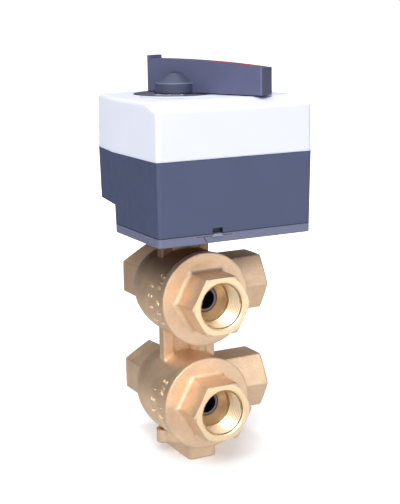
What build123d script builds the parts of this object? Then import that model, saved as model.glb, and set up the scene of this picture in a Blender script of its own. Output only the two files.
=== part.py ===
from build123d import *
from math import acos, cos, pi, radians, sin, sqrt, tan
import os

# Motorised six-port ball valve.
# Two three-port ball valves share one casting and one stem, and a rotary
# actuator on top turns both balls together through a quarter turn.
# Millimetres. X points right along the side ports, Y points back, Z points up.
# The origin lies on the stem axis, level with the underside of the foot.

# Casting
lower_port_z = 36.0          # foot to the axis of the lower ports
port_pitch = 63.5            # lower port axis to upper port axis
barrel_radius = 26.8         # largest radius of each cast barrel
barrel_dome_start = 4.0      # the dome starts this far in front of the stem
barrel_dome_radius = 55.0
barrel_back_y = 24.0
face_y = -29.3               # machined front face that the end piece seats on
hex_flats = 33.0             # width across the flats of every port
side_port_x = 50.9           # mouth of the side port
rear_port_y = 46.5           # mouth of the rear port
front_port_y = -54.0         # mouth of the end piece
corner_slope = 30.0          # slope of the turned hexagon corners, degrees
lip_inset = 0.2              # the turned lip lies this far inside the flats

# Port threads, the plain bore at the thread crests
thread_bore_radius = 12.06
thread_depth = 16.0
mouth_chamfer = 2.0
cone_radius = 11.4            # start of the cone behind the thread
insert_radius = 7.8           # plastic sleeve between mouth and seat
insert_bore_radius = 5.9
insert_depth = 21.0           # mouth to the front of the sleeve
insert_chamfer = 0.5
insert_fit = 0.1

# Ball and seats
ball_radius = 13.0
ball_bore_radius = 6.3
seat_radius = 9.2            # outside of a seat ring
seat_bore_radius = 6.5
seat_start = 9.5             # inner face of a seat, from the ball's centre
seat_end = 14.6              # outer face of a seat, from the ball's centre
seat_fit = 0.10              # ball to seat
chamber_radius = 13.6
spigot_radius = 17.0         # threaded spigot of the end piece
spigot_end_y = -11.9         # inner end of the spigot
thread_fit = 0.05            # spigot to casting

# Stem and link shaft
stem_radius = 5.0
stem_fit = 0.05
tongue_width = 5.0
tongue_fit = 0.05
tongue_end = 9.6             # end of a tongue, from the ball's centre
collar_radius = 7.0
collar_bottom = 13.9         # underside of the thrust collar, from the ball's centre
collar_height = 2.6
washer_height = 0.6
washer_play = 0.1
square_flats = 7.0           # square drive on top of the stem
ring_section = 0.85          # section radius of a stem O-ring
ring_gap = 0.05              # O-ring to the sides of its groove
link_ring_offset = 5.0       # link O-rings, from each end of the neck bore
stem_ring_offsets = (20.5, 25.0)

# Neck between the two bodies
neck_left = 16.0
neck_right = 19.0
neck_front = -7.5
neck_back = -3.5
neck_rib_front = -9.5
neck_rib_width = 7.0
neck_tube_radius = 7.5
neck_boss_radius = 6.0       # half-round boss on the front of the neck
neck_boss_x = 7.0

# Top flange, foot and lugs
flange_size = 45.0
flange_bottom_z = 129.0
flange_thickness = 5.0
flange_corner = 3.0
flange_column_radius = 13.0
flange_web_width = 32.0      # web between the upper barrel and the flange
screw_spacing = 29.7         # square pattern of the four mounting screws
screw_radius = 2.5
screw_fit = 0.15
hex_key = 4.0
hex_key_depth = 1.8
screw_depth = 4.5            # thread engagement in the flange
screw_head_radius = 4.2
screw_head_height = 3.0
foot_half_width = 9.2
foot_front_y = -28.0
foot_back_y = 14.0
foot_corner = 3.0
lug_reach = 20.0
lug_y = -6.0
lug_width = 9.5
lug_bottom_z = 6.5
lug_top_z = 14.5
lug_hole_radius = 2.2

# End piece
disc_radius = 27.2
disc_thickness = 5.0
disc_fillet = 3.0            # where the hexagon grows out of the disc
gasket_clearance = 0.1        # gasket to the shoulder in the casting

# Adapter and actuator case
adapter_thickness = 5.0
adapter_spigot_radius = 13.0
adapter_spigot_height = 3.0
adapter_bore_radius = 10.0
base_thickness = 5.0
housing_height = 41.5
cover_height = 31.0
case_left = 43.7             # stem axis to the left wall, at the seam
case_right = 54.3            # stem axis to the right wall, at the seam
case_front = 63.1            # stem axis to the front wall, at the seam
case_waist = 5.0             # the side walls turn in this far in front of the stem
case_back = 30.4             # stem axis to the rear wall, at the seam
case_tail_inset = 5.3        # the side walls turn in by this much at the rear
case_corner = 3.0
case_tail_corner = 7.0
case_draft = 1.2             # draft of the side walls, degrees
wall = 2.2
overhang_rise = 16.0         # underside of the rear overhang, above the base plate's foot
base_tail_run = 19.7         # the base narrows by this much on each side
base_back = 24.5             # stem axis to the back of the base
bevel_length = 14.0          # sloping strip along the front of the cover
bevel_drop = 4.2
cover_edge = 2.4             # rounding of the cover's top edges
lip_height = 3.0
lip_thickness = 1.2
lip_fit = 0.15
catch_x = -6.8               # snap catch in the middle of the front
catch_width = 6.4
catch_height = 3.0
catch_fit = 0.3
grommet_radius = 3.5
grommet_flange = 1.0
grommet_inset = 11.2         # grommet centre, in from the side wall
grommet_y = 14.0
base_boss_height = 6.0
catch_recess = 1.7           # nose of the catch, behind the outer face
cover_bush_height = 8.0
body_gap = 0.3               # between pieces that move against each other

# Output sleeve, bearings and gears
sleeve_radius = 9.0
sleeve_flats = 15.0          # double flat that drives the gear and the cam
sleeve_top_flats = 10.0      # square that drives the lever
sleeve_lever_depth = 7.0
sleeve_fit = 0.05
sleeve_lift = 1.0            # lower end of the sleeve, above the adapter
neck_radius = 7.4            # upper, thinner part of the sleeve
bush_thickness = 2.0
socket_depth = 12.0
post_height = 37.0           # base plate to the underside of the gear plate
plate_thickness = 2.0
plate_left = 36.5
plate_right = 30.0
plate_front = 56.5
plate_back = 13.0
post_radius = 3.0
post_places = ((-34.0, -52.0), (26.0, -52.5), (-34.0, -8.0), (26.0, -8.0))
plate_clearance = 0.5        # sleeve to the hole in the gear plate
small_screw_radius = 1.25
small_screw_depth = 5.0
small_screw_head = 1.5
output_teeth = 48
pinion_teeth = 16
output_module = 1.0
wheel_teeth = 45
motor_teeth = 15
wheel_module = 0.8
output_gear_height = 6.0
wheel_height = 4.0
wheel_lift = 3.0             # gear plate to the wheel
output_hub_height = 3.0
flank_steps = 3
root_relief = 0.015          # widening of a tooth at its root, radians
web_hole_circle = 16.5
web_hole_count = 6
web_hole_radius = 3.2
clip_thickness = 0.9
clip_depth = 0.5
clip_gap = 2.5
pinion_clear = 1.0           # the pinion ends this far above the output gear
intermediate_angle = -120.0  # from the stem axis to the intermediate gear
motor_angle = -20.0          # from the intermediate gear to the motor
pressure_angle = 20.0
addendum = 0.9               # in modules
dedendum = 1.2               # in modules
backlash = 0.14              # in modules
pin_radius = 2.0
pin_fit = 0.05
pin_head_radius = 3.2
pin_head_height = 0.9
motor_radius = 17.0
motor_height = 27.0
motor_shaft_radius = 1.5
motor_shaft_depth = 8.0
motor_corner = 1.0
motor_screw_circle = 12.5
motor_screw_angle = 60.0
cam_radius = 11.5
cam_lobe = 2.4
cam_height = 5.0
cam_gap = 0.4
cam_lobe_radius = 3.0
cam_lift = 1.0               # gear plate to the cam
switch_width = 10.0
switch_length = 14.0
switch_height = 7.5
switch_y = 2.0

# Circuit board
board_left_x = 32.5
board_right_x = 50.0
board_front_y = -57.0
board_back_y = -1.0
board_thickness = 1.6
board_post_height = 16.0
board_post_places = ((36.5, -53.0), (46.0, -53.0), (36.5, -5.0), (46.0, -8.0))
terminal_width = 11.0
terminal_height = 12.0
terminal_pitch = 5.0
terminal_count = 5
terminal_y = -33.0
relay_y = -15.5
relay_length = 8.0
relay_height = 9.0
capacitor_y = -5.5
capacitor_radius = 2.0

# Lever and dial
dial_radius = 24.8
dial_bore_radius = 12.6
dial_thickness = 0.8
dial_recess = 0.6
lever_angle = -65.0          # rest direction of the lever
lever_reach = 61.2           # tip, from the stem axis
lever_heel = 21.3            # other end, from the stem axis
lever_thickness = 10.3
lever_offset = 5.15          # middle of the blade, behind the stem axis
lever_gap = 0.6              # lever to cover
lever_height = 21.6          # raised heel block, above the cover
lever_tip_height = 15.8      # top of the tip, above the cover
lever_mid_height = 18.6      # top of the blade in its middle, above the cover
lever_mid_x = 24.0
lever_edge = 1.2
lever_block = 2.7            # length of the raised heel block
lever_notch = 2.0
hub_radius = 12.2
hub_height = 5.6
hub_dome_height = 11.7
hub_dome_radius = 3.5
inlay_start = 21.0
inlay_end = 54.0
inlay_width = 8.0
inlay_depth = 1.5
inlay_fit = 0.05

# Levels worked out from the sizes above
upper_port_z = lower_port_z + port_pitch
flange_top_z = flange_bottom_z + flange_thickness
base_z = flange_top_z + adapter_thickness
housing_z = base_z + base_thickness
seam_z = housing_z + housing_height
cover_top_z = seam_z + cover_height
overhang_z = base_z + overhang_rise
disc_front_y = face_y - disc_thickness
sleeve_bottom_z = base_z + sleeve_lift
plate_z = housing_z + post_height
plate_top_z = plate_z + plate_thickness
wheel_z = plate_top_z + wheel_lift
cam_z = plate_top_z + cam_lift
output_hub_z = cam_z + cam_height
output_gear_z = output_hub_z + output_hub_height
clip_z = output_gear_z + output_gear_height + pin_fit
sleeve_shoulder_z = clip_z + clip_thickness + 2 * pin_fit
pinion_top_z = output_gear_z + output_gear_height + pinion_clear
lever_bottom_z = cover_top_z + lever_gap
rim_inset = wall + lip_fit
base_rim_inset = rim_inset + housing_height * tan(radians(case_draft))
grommet_places = ((-case_left + grommet_inset, grommet_y), (case_right - grommet_inset, grommet_y))
port_levels = {"lower": lower_port_z, "upper": upper_port_z}

os.makedirs("parts", exist_ok=True)


def finish(part, name):
    """Label a finished piece and write it to its own file."""
    part.label = name
    export_step(part, f"parts/{name}.step")


def front_plane(y, z=0.0):
    """Plane facing the front, with X to the right and Z up."""
    return Plane(origin=(0, y, z), x_dir=(1, 0, 0), z_dir=(0, -1, 0))


def back_plane(y, z=0.0):
    """Plane facing the back."""
    return Plane(origin=(0, y, z), x_dir=(-1, 0, 0), z_dir=(0, 1, 0))


def side_plane(x, z=0.0):
    """Plane facing right, with Y to the right and Z up."""
    return Plane(origin=(x, 0, z), x_dir=(0, 1, 0), z_dir=(1, 0, 0))


def make_hex_port(length):
    """Hexagonal port along +Z with its end corners turned to a cone."""
    corner = hex_flats / sqrt(3)
    lip = hex_flats / 2 - lip_inset
    drop = (corner - lip) * tan(radians(corner_slope))
    with BuildPart() as port:
        with BuildSketch():
            RegularPolygon(hex_flats / 2, 6, major_radius=False)
        extrude(amount=length)
        with BuildSketch(Plane.XZ):
            with BuildLine():
                Polyline(
                    (0, 0), (corner, 0), (corner, length - drop), (lip, length), (0, length), close=True
                )
            make_face()
        revolve(axis=Axis.Z, mode=Mode.INTERSECT)
    return port.part


def make_port_bore(length):
    """Threaded mouth, cone and passage down to a seat, bored along -Z from the origin."""
    mouth = thread_bore_radius + mouth_chamfer
    with BuildPart() as bore:
        with BuildSketch(Plane.XZ):
            with BuildLine():
                Polyline(
                    (0, 0), (mouth, 0), (thread_bore_radius, -mouth_chamfer),
                    (thread_bore_radius, -thread_depth), (cone_radius, -thread_depth),
                    (insert_radius + insert_fit, -insert_depth), (insert_radius + insert_fit, -length),
                    (0, -length), close=True,
                )
            make_face()
        revolve(axis=Axis.Z)
    return bore.part


def make_insert(length):
    """Sleeve with a chamfered front, in the passage of a port that is bored along -Z from the origin."""
    with BuildPart() as insert:
        with BuildSketch(Plane.XZ):
            with BuildLine():
                Polyline(
                    (insert_bore_radius, -insert_depth), (insert_radius - insert_chamfer, -insert_depth),
                    (insert_radius, -insert_depth - insert_chamfer), (insert_radius, -length + insert_fit),
                    (insert_bore_radius, -length + insert_fit), close=True,
                )
            make_face()
        revolve(axis=Axis.Z)
    return insert.part


side_hex = make_hex_port(side_port_x)
rear_hex = make_hex_port(rear_port_y)
side_bore = make_port_bore(side_port_x - seat_end)
rear_bore = make_port_bore(rear_port_y - seat_end)
front_bore = make_port_bore(-front_port_y - seat_end)
side_insert = make_insert(side_port_x - seat_end)
rear_insert = make_insert(rear_port_y - seat_end)
front_insert = make_insert(-front_port_y - seat_end)

# One casting: two barrels, the neck, the top flange, the foot and its lugs
with BuildPart() as valve_body:
    for port_z in port_levels.values():
        dome_run = barrel_back_y + barrel_dome_start
        dome_drop = barrel_dome_radius - sqrt(barrel_dome_radius**2 - dome_run**2)
        with BuildSketch(Plane.XY.offset(port_z)):
            with BuildLine():
                Line((0, face_y), (barrel_radius, face_y))
                Line((barrel_radius, face_y), (barrel_radius, -barrel_dome_start))
                TangentArc(
                    (barrel_radius, -barrel_dome_start),
                    (barrel_radius - dome_drop, barrel_back_y),
                    tangent=(0, 1),
                )
                Line((barrel_radius - dome_drop, barrel_back_y), (0, barrel_back_y))
                Line((0, barrel_back_y), (0, face_y))
            make_face()
        revolve(axis=Axis((0, 0, port_z), (0, 1, 0)))
        with Locations(side_plane(0, port_z).location):
            add(side_hex)
        with Locations(back_plane(0, port_z).location * Rotation(0, 0, 90)):
            add(rear_hex)
    # neck: web, left edge rib, stem tube and half-round boss
    with BuildSketch(Plane.XY.offset(lower_port_z)):
        with Locations(((neck_right - neck_left) / 2, (neck_front + neck_back) / 2)):
            Rectangle(neck_left + neck_right, neck_back - neck_front)
        with Locations((-neck_left + neck_rib_width / 2, (neck_rib_front + neck_back) / 2)):
            Rectangle(neck_rib_width, neck_back - neck_rib_front)
        Circle(neck_tube_radius)
        with Locations((neck_boss_x, neck_front)):
            Circle(neck_boss_radius)
    extrude(amount=port_pitch)
    # top flange on its column
    with BuildSketch(Plane.XY.offset(upper_port_z)):
        Circle(flange_column_radius)
        with Locations((0, (neck_front + neck_back) / 2)):
            Rectangle(flange_web_width, neck_back - neck_front)
        with Locations((-neck_left + neck_rib_width / 2, (neck_rib_front + neck_back) / 2)):
            Rectangle(neck_rib_width, neck_back - neck_rib_front)
    extrude(amount=flange_bottom_z - upper_port_z)
    with BuildSketch(Plane.XY.offset(flange_bottom_z)):
        RectangleRounded(flange_size, flange_size, flange_corner)
    extrude(amount=flange_thickness)
    # foot block and its two lugs
    with BuildSketch():
        with Locations((0, (foot_front_y + foot_back_y) / 2)):
            RectangleRounded(2 * foot_half_width, foot_back_y - foot_front_y, foot_corner)
    extrude(amount=lower_port_z)
    with BuildSketch(Plane.XY.offset(lug_bottom_z)):
        with Locations((0, lug_y)):
            SlotOverall(2 * lug_reach, lug_width)
        with BuildLine():
            Polyline(
                (-lug_reach + lug_width / 2, lug_y - lug_width / 2), (0, foot_front_y + foot_corner),
                (lug_reach - lug_width / 2, lug_y - lug_width / 2), (0, lug_y), close=True,
            )
        make_face()
    extrude(amount=lug_top_z - lug_bottom_z)
    lug_hole_x = lug_reach - lug_width / 2
    with BuildSketch(Plane.XY.offset(lug_bottom_z)):
        with Locations((-lug_hole_x, lug_y), (lug_hole_x, lug_y)):
            Circle(lug_hole_radius)
    extrude(amount=lug_top_z - lug_bottom_z, mode=Mode.SUBTRACT)
    # chambers, seat pockets and port bores
    for port_z in port_levels.values():
        with BuildSketch(front_plane(face_y, port_z)):
            Circle(spigot_radius + thread_fit)
        extrude(amount=face_y - spigot_end_y, mode=Mode.SUBTRACT)
        with BuildSketch(front_plane(0, port_z)):
            Circle(chamber_radius)
        extrude(amount=-face_y, mode=Mode.SUBTRACT)
        with BuildSketch(back_plane(0, port_z)):
            Circle(chamber_radius)
        extrude(amount=seat_start, mode=Mode.SUBTRACT)
        for pocket_plane in (back_plane(0, port_z), side_plane(0, port_z)):
            with BuildSketch(pocket_plane):
                Circle(seat_radius + seat_fit)
            extrude(amount=seat_end, mode=Mode.SUBTRACT)
        with Locations(side_plane(side_port_x, port_z).location):
            add(side_bore, mode=Mode.SUBTRACT)
        with Locations(back_plane(rear_port_y, port_z).location):
            add(rear_bore, mode=Mode.SUBTRACT)
    # stem bore, collar recess, link bore and screw holes
    with BuildSketch(Plane.XY.offset(lower_port_z)):
        Circle(stem_radius + stem_fit)
    extrude(amount=flange_top_z - lower_port_z, mode=Mode.SUBTRACT)
    with BuildSketch(Plane.XY.offset(upper_port_z)):
        Circle(collar_radius + stem_fit)
    extrude(amount=collar_bottom + collar_height + washer_height + washer_play, mode=Mode.SUBTRACT)
    with BuildSketch(Plane.XY.offset(flange_top_z)):
        with GridLocations(screw_spacing, screw_spacing, 2, 2):
            Circle(screw_radius)
    extrude(amount=-screw_depth, mode=Mode.SUBTRACT)
finish(valve_body.part, "valve_body")

# End pieces: hexagonal mouth, round disc and threaded spigot, turned from one bar
front_hex = make_hex_port(disc_front_y - front_port_y)
for level, port_z in port_levels.items():
    with BuildPart() as end_piece:
        with Locations(front_plane(disc_front_y, port_z).location):
            add(front_hex)
        with BuildSketch(Plane.XY.offset(port_z)):
            with BuildLine():
                Polyline(
                    (0, disc_front_y), (disc_radius, disc_front_y), (disc_radius, face_y),
                    (spigot_radius, face_y), (spigot_radius, -seat_end),
                    (chamber_radius - thread_fit, -seat_end), (chamber_radius - thread_fit, spigot_end_y),
                    (0, spigot_end_y), close=True,
                )
            make_face()
        revolve(axis=Axis((0, 0, port_z), (0, 1, 0)))
        root_edges = end_piece.edges().filter_by(lambda e: abs(e.center().Y - disc_front_y) < 0.01)
        fillet(root_edges.filter_by(GeomType.LINE), disc_fillet)
        with Locations(front_plane(front_port_y, port_z).location):
            add(front_bore, mode=Mode.SUBTRACT)
        with BuildSketch(front_plane(0, port_z)):
            Circle(seat_radius + seat_fit)
        extrude(amount=seat_end, mode=Mode.SUBTRACT)
        with BuildSketch(front_plane(0, port_z)):
            Circle(ball_radius + seat_fit)
        extrude(amount=sqrt(ball_radius**2 - seat_radius**2), mode=Mode.SUBTRACT)
        with Locations((0, 0, port_z)):
            Sphere(ball_radius + 2 * seat_fit, mode=Mode.SUBTRACT)
    finish(end_piece.part, f"{level}_end_piece")

    with BuildPart() as end_gasket:
        with BuildSketch(front_plane(-seat_end, port_z)):
            Circle(spigot_radius)
            Circle(chamber_radius + thread_fit, mode=Mode.SUBTRACT)
        extrude(amount=-(seat_end + spigot_end_y) + gasket_clearance)
    finish(end_gasket.part, f"{level}_end_gasket")

# Balls with an L-shaped bore from front to side, and slots for the tongues
for level, port_z in port_levels.items():
    slot_sides = (1,) if level == "lower" else (1, -1)
    with BuildPart() as ball:
        with Locations((0, 0, port_z)):
            Sphere(ball_radius)
            Sphere(ball_bore_radius, mode=Mode.SUBTRACT)
        for bore_plane in (front_plane(0, port_z), side_plane(0, port_z)):
            with BuildSketch(bore_plane):
                Circle(ball_bore_radius)
            extrude(amount=ball_radius, mode=Mode.SUBTRACT)
        for side in slot_sides:
            with BuildSketch(Plane.XY.offset(port_z + side * (tongue_end - tongue_fit))):
                Rectangle(2 * ball_radius, tongue_width + 2 * tongue_fit)
            extrude(amount=side * ball_radius, mode=Mode.SUBTRACT)
    finish(ball.part, f"{level}_ball")

# Seat rings, each with a ball-shaped lip facing the ball
with BuildPart() as seat_ring:
    with BuildSketch(Plane.XY.offset(seat_start)):
        Circle(seat_radius)
        Circle(seat_bore_radius, mode=Mode.SUBTRACT)
    extrude(amount=seat_end - seat_start)
    Sphere(ball_radius + seat_fit, mode=Mode.SUBTRACT)
for level, port_z in port_levels.items():
    seat_planes = {
        "front": front_plane(0, port_z), "side": side_plane(0, port_z), "rear": back_plane(0, port_z)
    }
    for side, seat_plane in seat_planes.items():
        with BuildPart() as seat:
            with Locations(seat_plane.location):
                add(seat_ring.part)
        finish(seat.part, f"{level}_{side}_seat")

# Stem: tongue, thrust collar, grooved shaft and square drive
ring_centre = stem_radius - ring_section
groove_radius = stem_radius - 2 * ring_section
groove_height = 2 * (ring_section + ring_gap)
stem_ring_levels = [upper_port_z + offset for offset in stem_ring_offsets]
link_ring_levels = [
    lower_port_z + chamber_radius + link_ring_offset,
    upper_port_z - chamber_radius - link_ring_offset,
]

# Sleeves that line the passages of all six ports
with BuildPart() as port_inserts:
    for port_z in port_levels.values():
        with Locations(side_plane(side_port_x, port_z).location):
            add(side_insert)
        with Locations(back_plane(rear_port_y, port_z).location):
            add(rear_insert)
        with Locations(front_plane(front_port_y, port_z).location):
            add(front_insert)
finish(port_inserts.part, "port_inserts")


def make_ring_grooves(levels):
    """Rings to cut from a shaft, one O-ring groove at each level."""
    with BuildPart() as grooves:
        for ring_z in levels:
            with BuildSketch(Plane.XY.offset(ring_z - groove_height / 2)):
                Circle(collar_radius)
                Circle(groove_radius, mode=Mode.SUBTRACT)
            extrude(amount=groove_height)
    return grooves.part


with BuildPart() as stem:
    with BuildSketch(Plane.XY.offset(upper_port_z + tongue_end)):
        Circle(stem_radius)
        Rectangle(2 * stem_radius, tongue_width, mode=Mode.INTERSECT)
    extrude(amount=collar_bottom - tongue_end)
    with BuildSketch(Plane.XY.offset(upper_port_z + collar_bottom)):
        Circle(collar_radius)
    extrude(amount=collar_height)
    with BuildSketch(Plane.XY.offset(upper_port_z + collar_bottom + collar_height)):
        Circle(stem_radius)
    extrude(amount=base_z - upper_port_z - collar_bottom - collar_height)
    with BuildSketch(Plane.XY.offset(base_z)):
        Rectangle(square_flats, square_flats)
    extrude(amount=socket_depth)
    add(make_ring_grooves(stem_ring_levels), mode=Mode.SUBTRACT)
finish(stem.part, "stem")

with BuildPart() as link_shaft:
    link_bottom = lower_port_z + tongue_end
    link_top = upper_port_z - tongue_end
    with BuildSketch(Plane.XY.offset(link_bottom)):
        Circle(stem_radius)
        Rectangle(2 * stem_radius, tongue_width, mode=Mode.INTERSECT)
    extrude(amount=link_top - link_bottom)
    with BuildSketch(Plane.XY.offset(lower_port_z + collar_bottom)):
        Circle(stem_radius)
    extrude(amount=port_pitch - 2 * collar_bottom)
    add(make_ring_grooves(link_ring_levels), mode=Mode.SUBTRACT)
finish(link_shaft.part, "link_shaft")

for name, levels in (("stem_seals", stem_ring_levels), ("link_seals", link_ring_levels)):
    with BuildPart() as seals:
        for ring_z in levels:
            with Locations((0, 0, ring_z)):
                Torus(ring_centre, ring_section)
    finish(seals.part, name)

with BuildPart() as thrust_washer:
    with BuildSketch(Plane.XY.offset(upper_port_z + collar_bottom + collar_height)):
        Circle(collar_radius)
        Circle(stem_radius + stem_fit, mode=Mode.SUBTRACT)
    extrude(amount=washer_height)
finish(thrust_washer.part, "thrust_washer")

# Adapter between the top flange and the actuator
with BuildPart() as adapter:
    with BuildSketch(Plane.XY.offset(flange_top_z)):
        RectangleRounded(flange_size, flange_size, flange_corner)
    extrude(amount=adapter_thickness)
    with BuildSketch(Plane.XY.offset(base_z)):
        Circle(adapter_spigot_radius)
    extrude(amount=adapter_spigot_height)
    with BuildSketch(Plane.XY.offset(flange_top_z)):
        Circle(adapter_bore_radius)
        with GridLocations(screw_spacing, screw_spacing, 2, 2):
            Circle(screw_radius + screw_fit)
    extrude(amount=adapter_thickness + adapter_spigot_height, mode=Mode.SUBTRACT)
finish(adapter.part, "adapter")

with BuildPart() as mounting_screws:
    with BuildSketch(Plane.XY.offset(flange_top_z - screw_depth)):
        with GridLocations(screw_spacing, screw_spacing, 2, 2):
            Circle(screw_radius - thread_fit)
    extrude(amount=housing_z - flange_top_z + screw_depth)
    with BuildSketch(Plane.XY.offset(housing_z)):
        with GridLocations(screw_spacing, screw_spacing, 2, 2):
            Circle(screw_head_radius)
    extrude(amount=screw_head_height)
    with BuildSketch(Plane.XY.offset(housing_z + screw_head_height)):
        with GridLocations(screw_spacing, screw_spacing, 2, 2):
            RegularPolygon(hex_key / 2, 6, major_radius=False)
    extrude(amount=-hex_key_depth, mode=Mode.SUBTRACT)
finish(mounting_screws.part, "mounting_screws")


def draw_case_outline(inset, whole):
    """Plan of the actuator case: the whole case, or the narrower lower part."""
    tail_x = case_tail_inset if whole else base_tail_run
    tail_y = case_back if whole else base_back
    points = [(-case_left, -case_front), (case_right, -case_front), (case_right, -case_waist)]
    if whole:
        points += [(case_right - tail_x, tail_y), (-case_left + tail_x, tail_y)]
    else:
        turn_y = base_tail_run - case_waist
        points += [(case_right - tail_x, turn_y), (case_right - tail_x, tail_y)]
        points += [(-case_left + tail_x, tail_y), (-case_left + tail_x, turn_y)]
    points.append((-case_left, -case_waist))
    with BuildSketch() as outline:
        with BuildLine():
            Polyline(*points, close=True)
        make_face()
        fillet(outline.vertices().group_by(Axis.Y)[0], case_corner)
        fillet(outline.vertices().group_by(Axis.Y)[-1], case_tail_corner if whole else case_corner)
        if inset:
            offset(amount=-inset, kind=Kind.INTERSECTION)
    return outline.sketch


def make_housing_form(inset, floor_z):
    """Solid form of the housing, from the seam down, with its rear overhang."""
    with BuildPart() as form:
        with BuildSketch(Plane.XY.offset(seam_z)):
            add(draw_case_outline(inset, whole=True))
        extrude(amount=-(seam_z - floor_z), taper=case_draft)
        with BuildSketch(Plane.XY.offset(seam_z)):
            add(draw_case_outline(inset, whole=False))
        extrude(amount=-housing_height, taper=case_draft)
    return form.part


def make_cover_form(inset, rounding=0.0):
    """Solid form of the cover, from the seam up, with its sloping front strip."""
    top_z = cover_top_z - inset
    with BuildPart() as form:
        with BuildSketch(Plane.XY.offset(seam_z)):
            add(draw_case_outline(inset, whole=True))
        extrude(amount=top_z - seam_z, taper=case_draft)
        bevel_y = -case_front + bevel_length
        front_y = -case_front - bevel_length
        with BuildSketch(side_plane(-case_left)):
            with BuildLine():
                Polyline(
                    (bevel_y, top_z), (front_y, top_z), (front_y, top_z - 2 * bevel_drop), close=True,
                )
            make_face()
        extrude(amount=case_left + case_right, mode=Mode.SUBTRACT)
        if rounding:
            fillet(form.edges().filter_by(lambda e: e.center().Z > top_z - 1.5 * bevel_drop), rounding)
    return form.part


# Base plate: floor of the actuator, with a locating rim and the snap catch
base_boss_radius = sleeve_radius + sleeve_fit + bush_thickness + wall
with BuildPart() as base_plate:
    with BuildSketch(Plane.XY.offset(seam_z)) as base_sketch:
        add(draw_case_outline(0, whole=False))
    extrude(amount=-(seam_z - base_z), taper=case_draft)
    with BuildSketch(Plane.XY.offset(housing_z)):
        add(draw_case_outline(-wall, whole=True))
    extrude(amount=housing_height, mode=Mode.SUBTRACT)
    with BuildSketch(Plane.XY.offset(housing_z)):
        add(draw_case_outline(base_rim_inset, whole=False))
        add(draw_case_outline(base_rim_inset + lip_thickness, whole=False), mode=Mode.SUBTRACT)
    extrude(amount=lip_height)
    with BuildSketch(Plane.XY.offset(housing_z)):
        Circle(base_boss_radius)
    extrude(amount=base_boss_height)
    with BuildSketch(Plane.XY.offset(base_z)):
        Circle(adapter_spigot_radius + sleeve_fit)
    extrude(amount=adapter_spigot_height, mode=Mode.SUBTRACT)
    with BuildSketch(Plane.XY.offset(base_z)):
        Circle(sleeve_radius + bush_thickness)
    extrude(amount=base_thickness + base_boss_height, mode=Mode.SUBTRACT)
    with BuildSketch(Plane.XY.offset(base_z)):
        with GridLocations(screw_spacing, screw_spacing, 2, 2):
            Circle(screw_radius + screw_fit)
    extrude(amount=base_thickness, mode=Mode.SUBTRACT)
    # nose of the catch, standing in the window of the housing
    nose_front = -case_front + base_rim_inset - wall + catch_recess
    nose_back = -case_front + base_rim_inset + lip_thickness
    with BuildSketch(Plane.XY.offset(housing_z)):
        with Locations((catch_x, (nose_front + nose_back) / 2)):
            Rectangle(catch_width - 2 * catch_fit, nose_back - nose_front)
    extrude(amount=catch_height - catch_fit)
finish(base_plate.part, "base_plate")

# Housing: dark shell, open below and above, with the catch window and cable entries
with BuildPart() as housing:
    add(make_housing_form(0, overhang_z))
    add(make_housing_form(wall, overhang_z + wall), mode=Mode.SUBTRACT)
    with BuildSketch(Plane.XY.offset(housing_z)):
        with Locations((catch_x, -case_front)):
            Rectangle(catch_width, 3 * wall)
    extrude(amount=catch_height, mode=Mode.SUBTRACT)
    with BuildSketch(Plane.XY.offset(overhang_z)):
        with Locations(*grommet_places):
            Circle(grommet_radius)
    extrude(amount=wall, mode=Mode.SUBTRACT)
finish(housing.part, "housing")

with BuildPart() as cable_grommets:
    for place_x, place_y in grommet_places:
        with BuildSketch(Plane.XZ.offset(-place_y)):
            with BuildLine():
                Polyline(
                    (place_x, overhang_z - grommet_flange),
                    (place_x + grommet_radius, overhang_z - grommet_flange),
                    (place_x + grommet_radius + grommet_flange, overhang_z),
                    (place_x + grommet_radius - pin_fit, overhang_z),
                    (place_x + grommet_radius - pin_fit, overhang_z + wall),
                    (place_x + grommet_radius + grommet_flange, overhang_z + wall),
                    (place_x + grommet_radius, overhang_z + wall + grommet_flange),
                    (place_x, overhang_z + wall + grommet_flange), close=True,
                )
            make_face()
        revolve(axis=Axis((place_x, place_y, 0), (0, 0, 1)))
finish(cable_grommets.part, "cable_grommets")

# Cover: white shell with a lip that drops into the housing
cover_bush_z = cover_top_z - dial_recess - cover_bush_height
with BuildPart() as top_cover:
    add(make_cover_form(0, cover_edge))
    add(make_cover_form(wall), mode=Mode.SUBTRACT)
    with BuildSketch(Plane.XY.offset(seam_z - lip_height)):
        add(draw_case_outline(rim_inset, whole=True))
        add(draw_case_outline(rim_inset + lip_thickness, whole=True), mode=Mode.SUBTRACT)
    extrude(amount=lip_height)
    with BuildSketch(Plane.XY.offset(seam_z)):
        add(draw_case_outline(wall / 2, whole=True))
        add(draw_case_outline(rim_inset + lip_thickness, whole=True), mode=Mode.SUBTRACT)
    extrude(amount=lip_thickness)
    with BuildSketch(Plane.XY.offset(cover_bush_z)):
        Circle(neck_radius + bush_thickness + wall)
    extrude(amount=cover_bush_height)
    with BuildSketch(Plane.XY.offset(cover_bush_z)):
        Circle(neck_radius + bush_thickness)
    extrude(amount=cover_bush_height + dial_recess, mode=Mode.SUBTRACT)
    with BuildSketch(Plane.XY.offset(cover_top_z - dial_recess)):
        Circle(dial_radius + lip_fit)
    extrude(amount=dial_recess, mode=Mode.SUBTRACT)
finish(top_cover.part, "top_cover")

with BuildPart() as dial:
    with BuildSketch(Plane.XY.offset(cover_top_z - dial_recess)):
        Circle(dial_radius)
        Circle(dial_bore_radius, mode=Mode.SUBTRACT)
    extrude(amount=dial_thickness)
    chamfer(dial.edges().group_by(Axis.Z)[-1], dial_thickness - dial_recess)
finish(dial.part, "dial")

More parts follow.
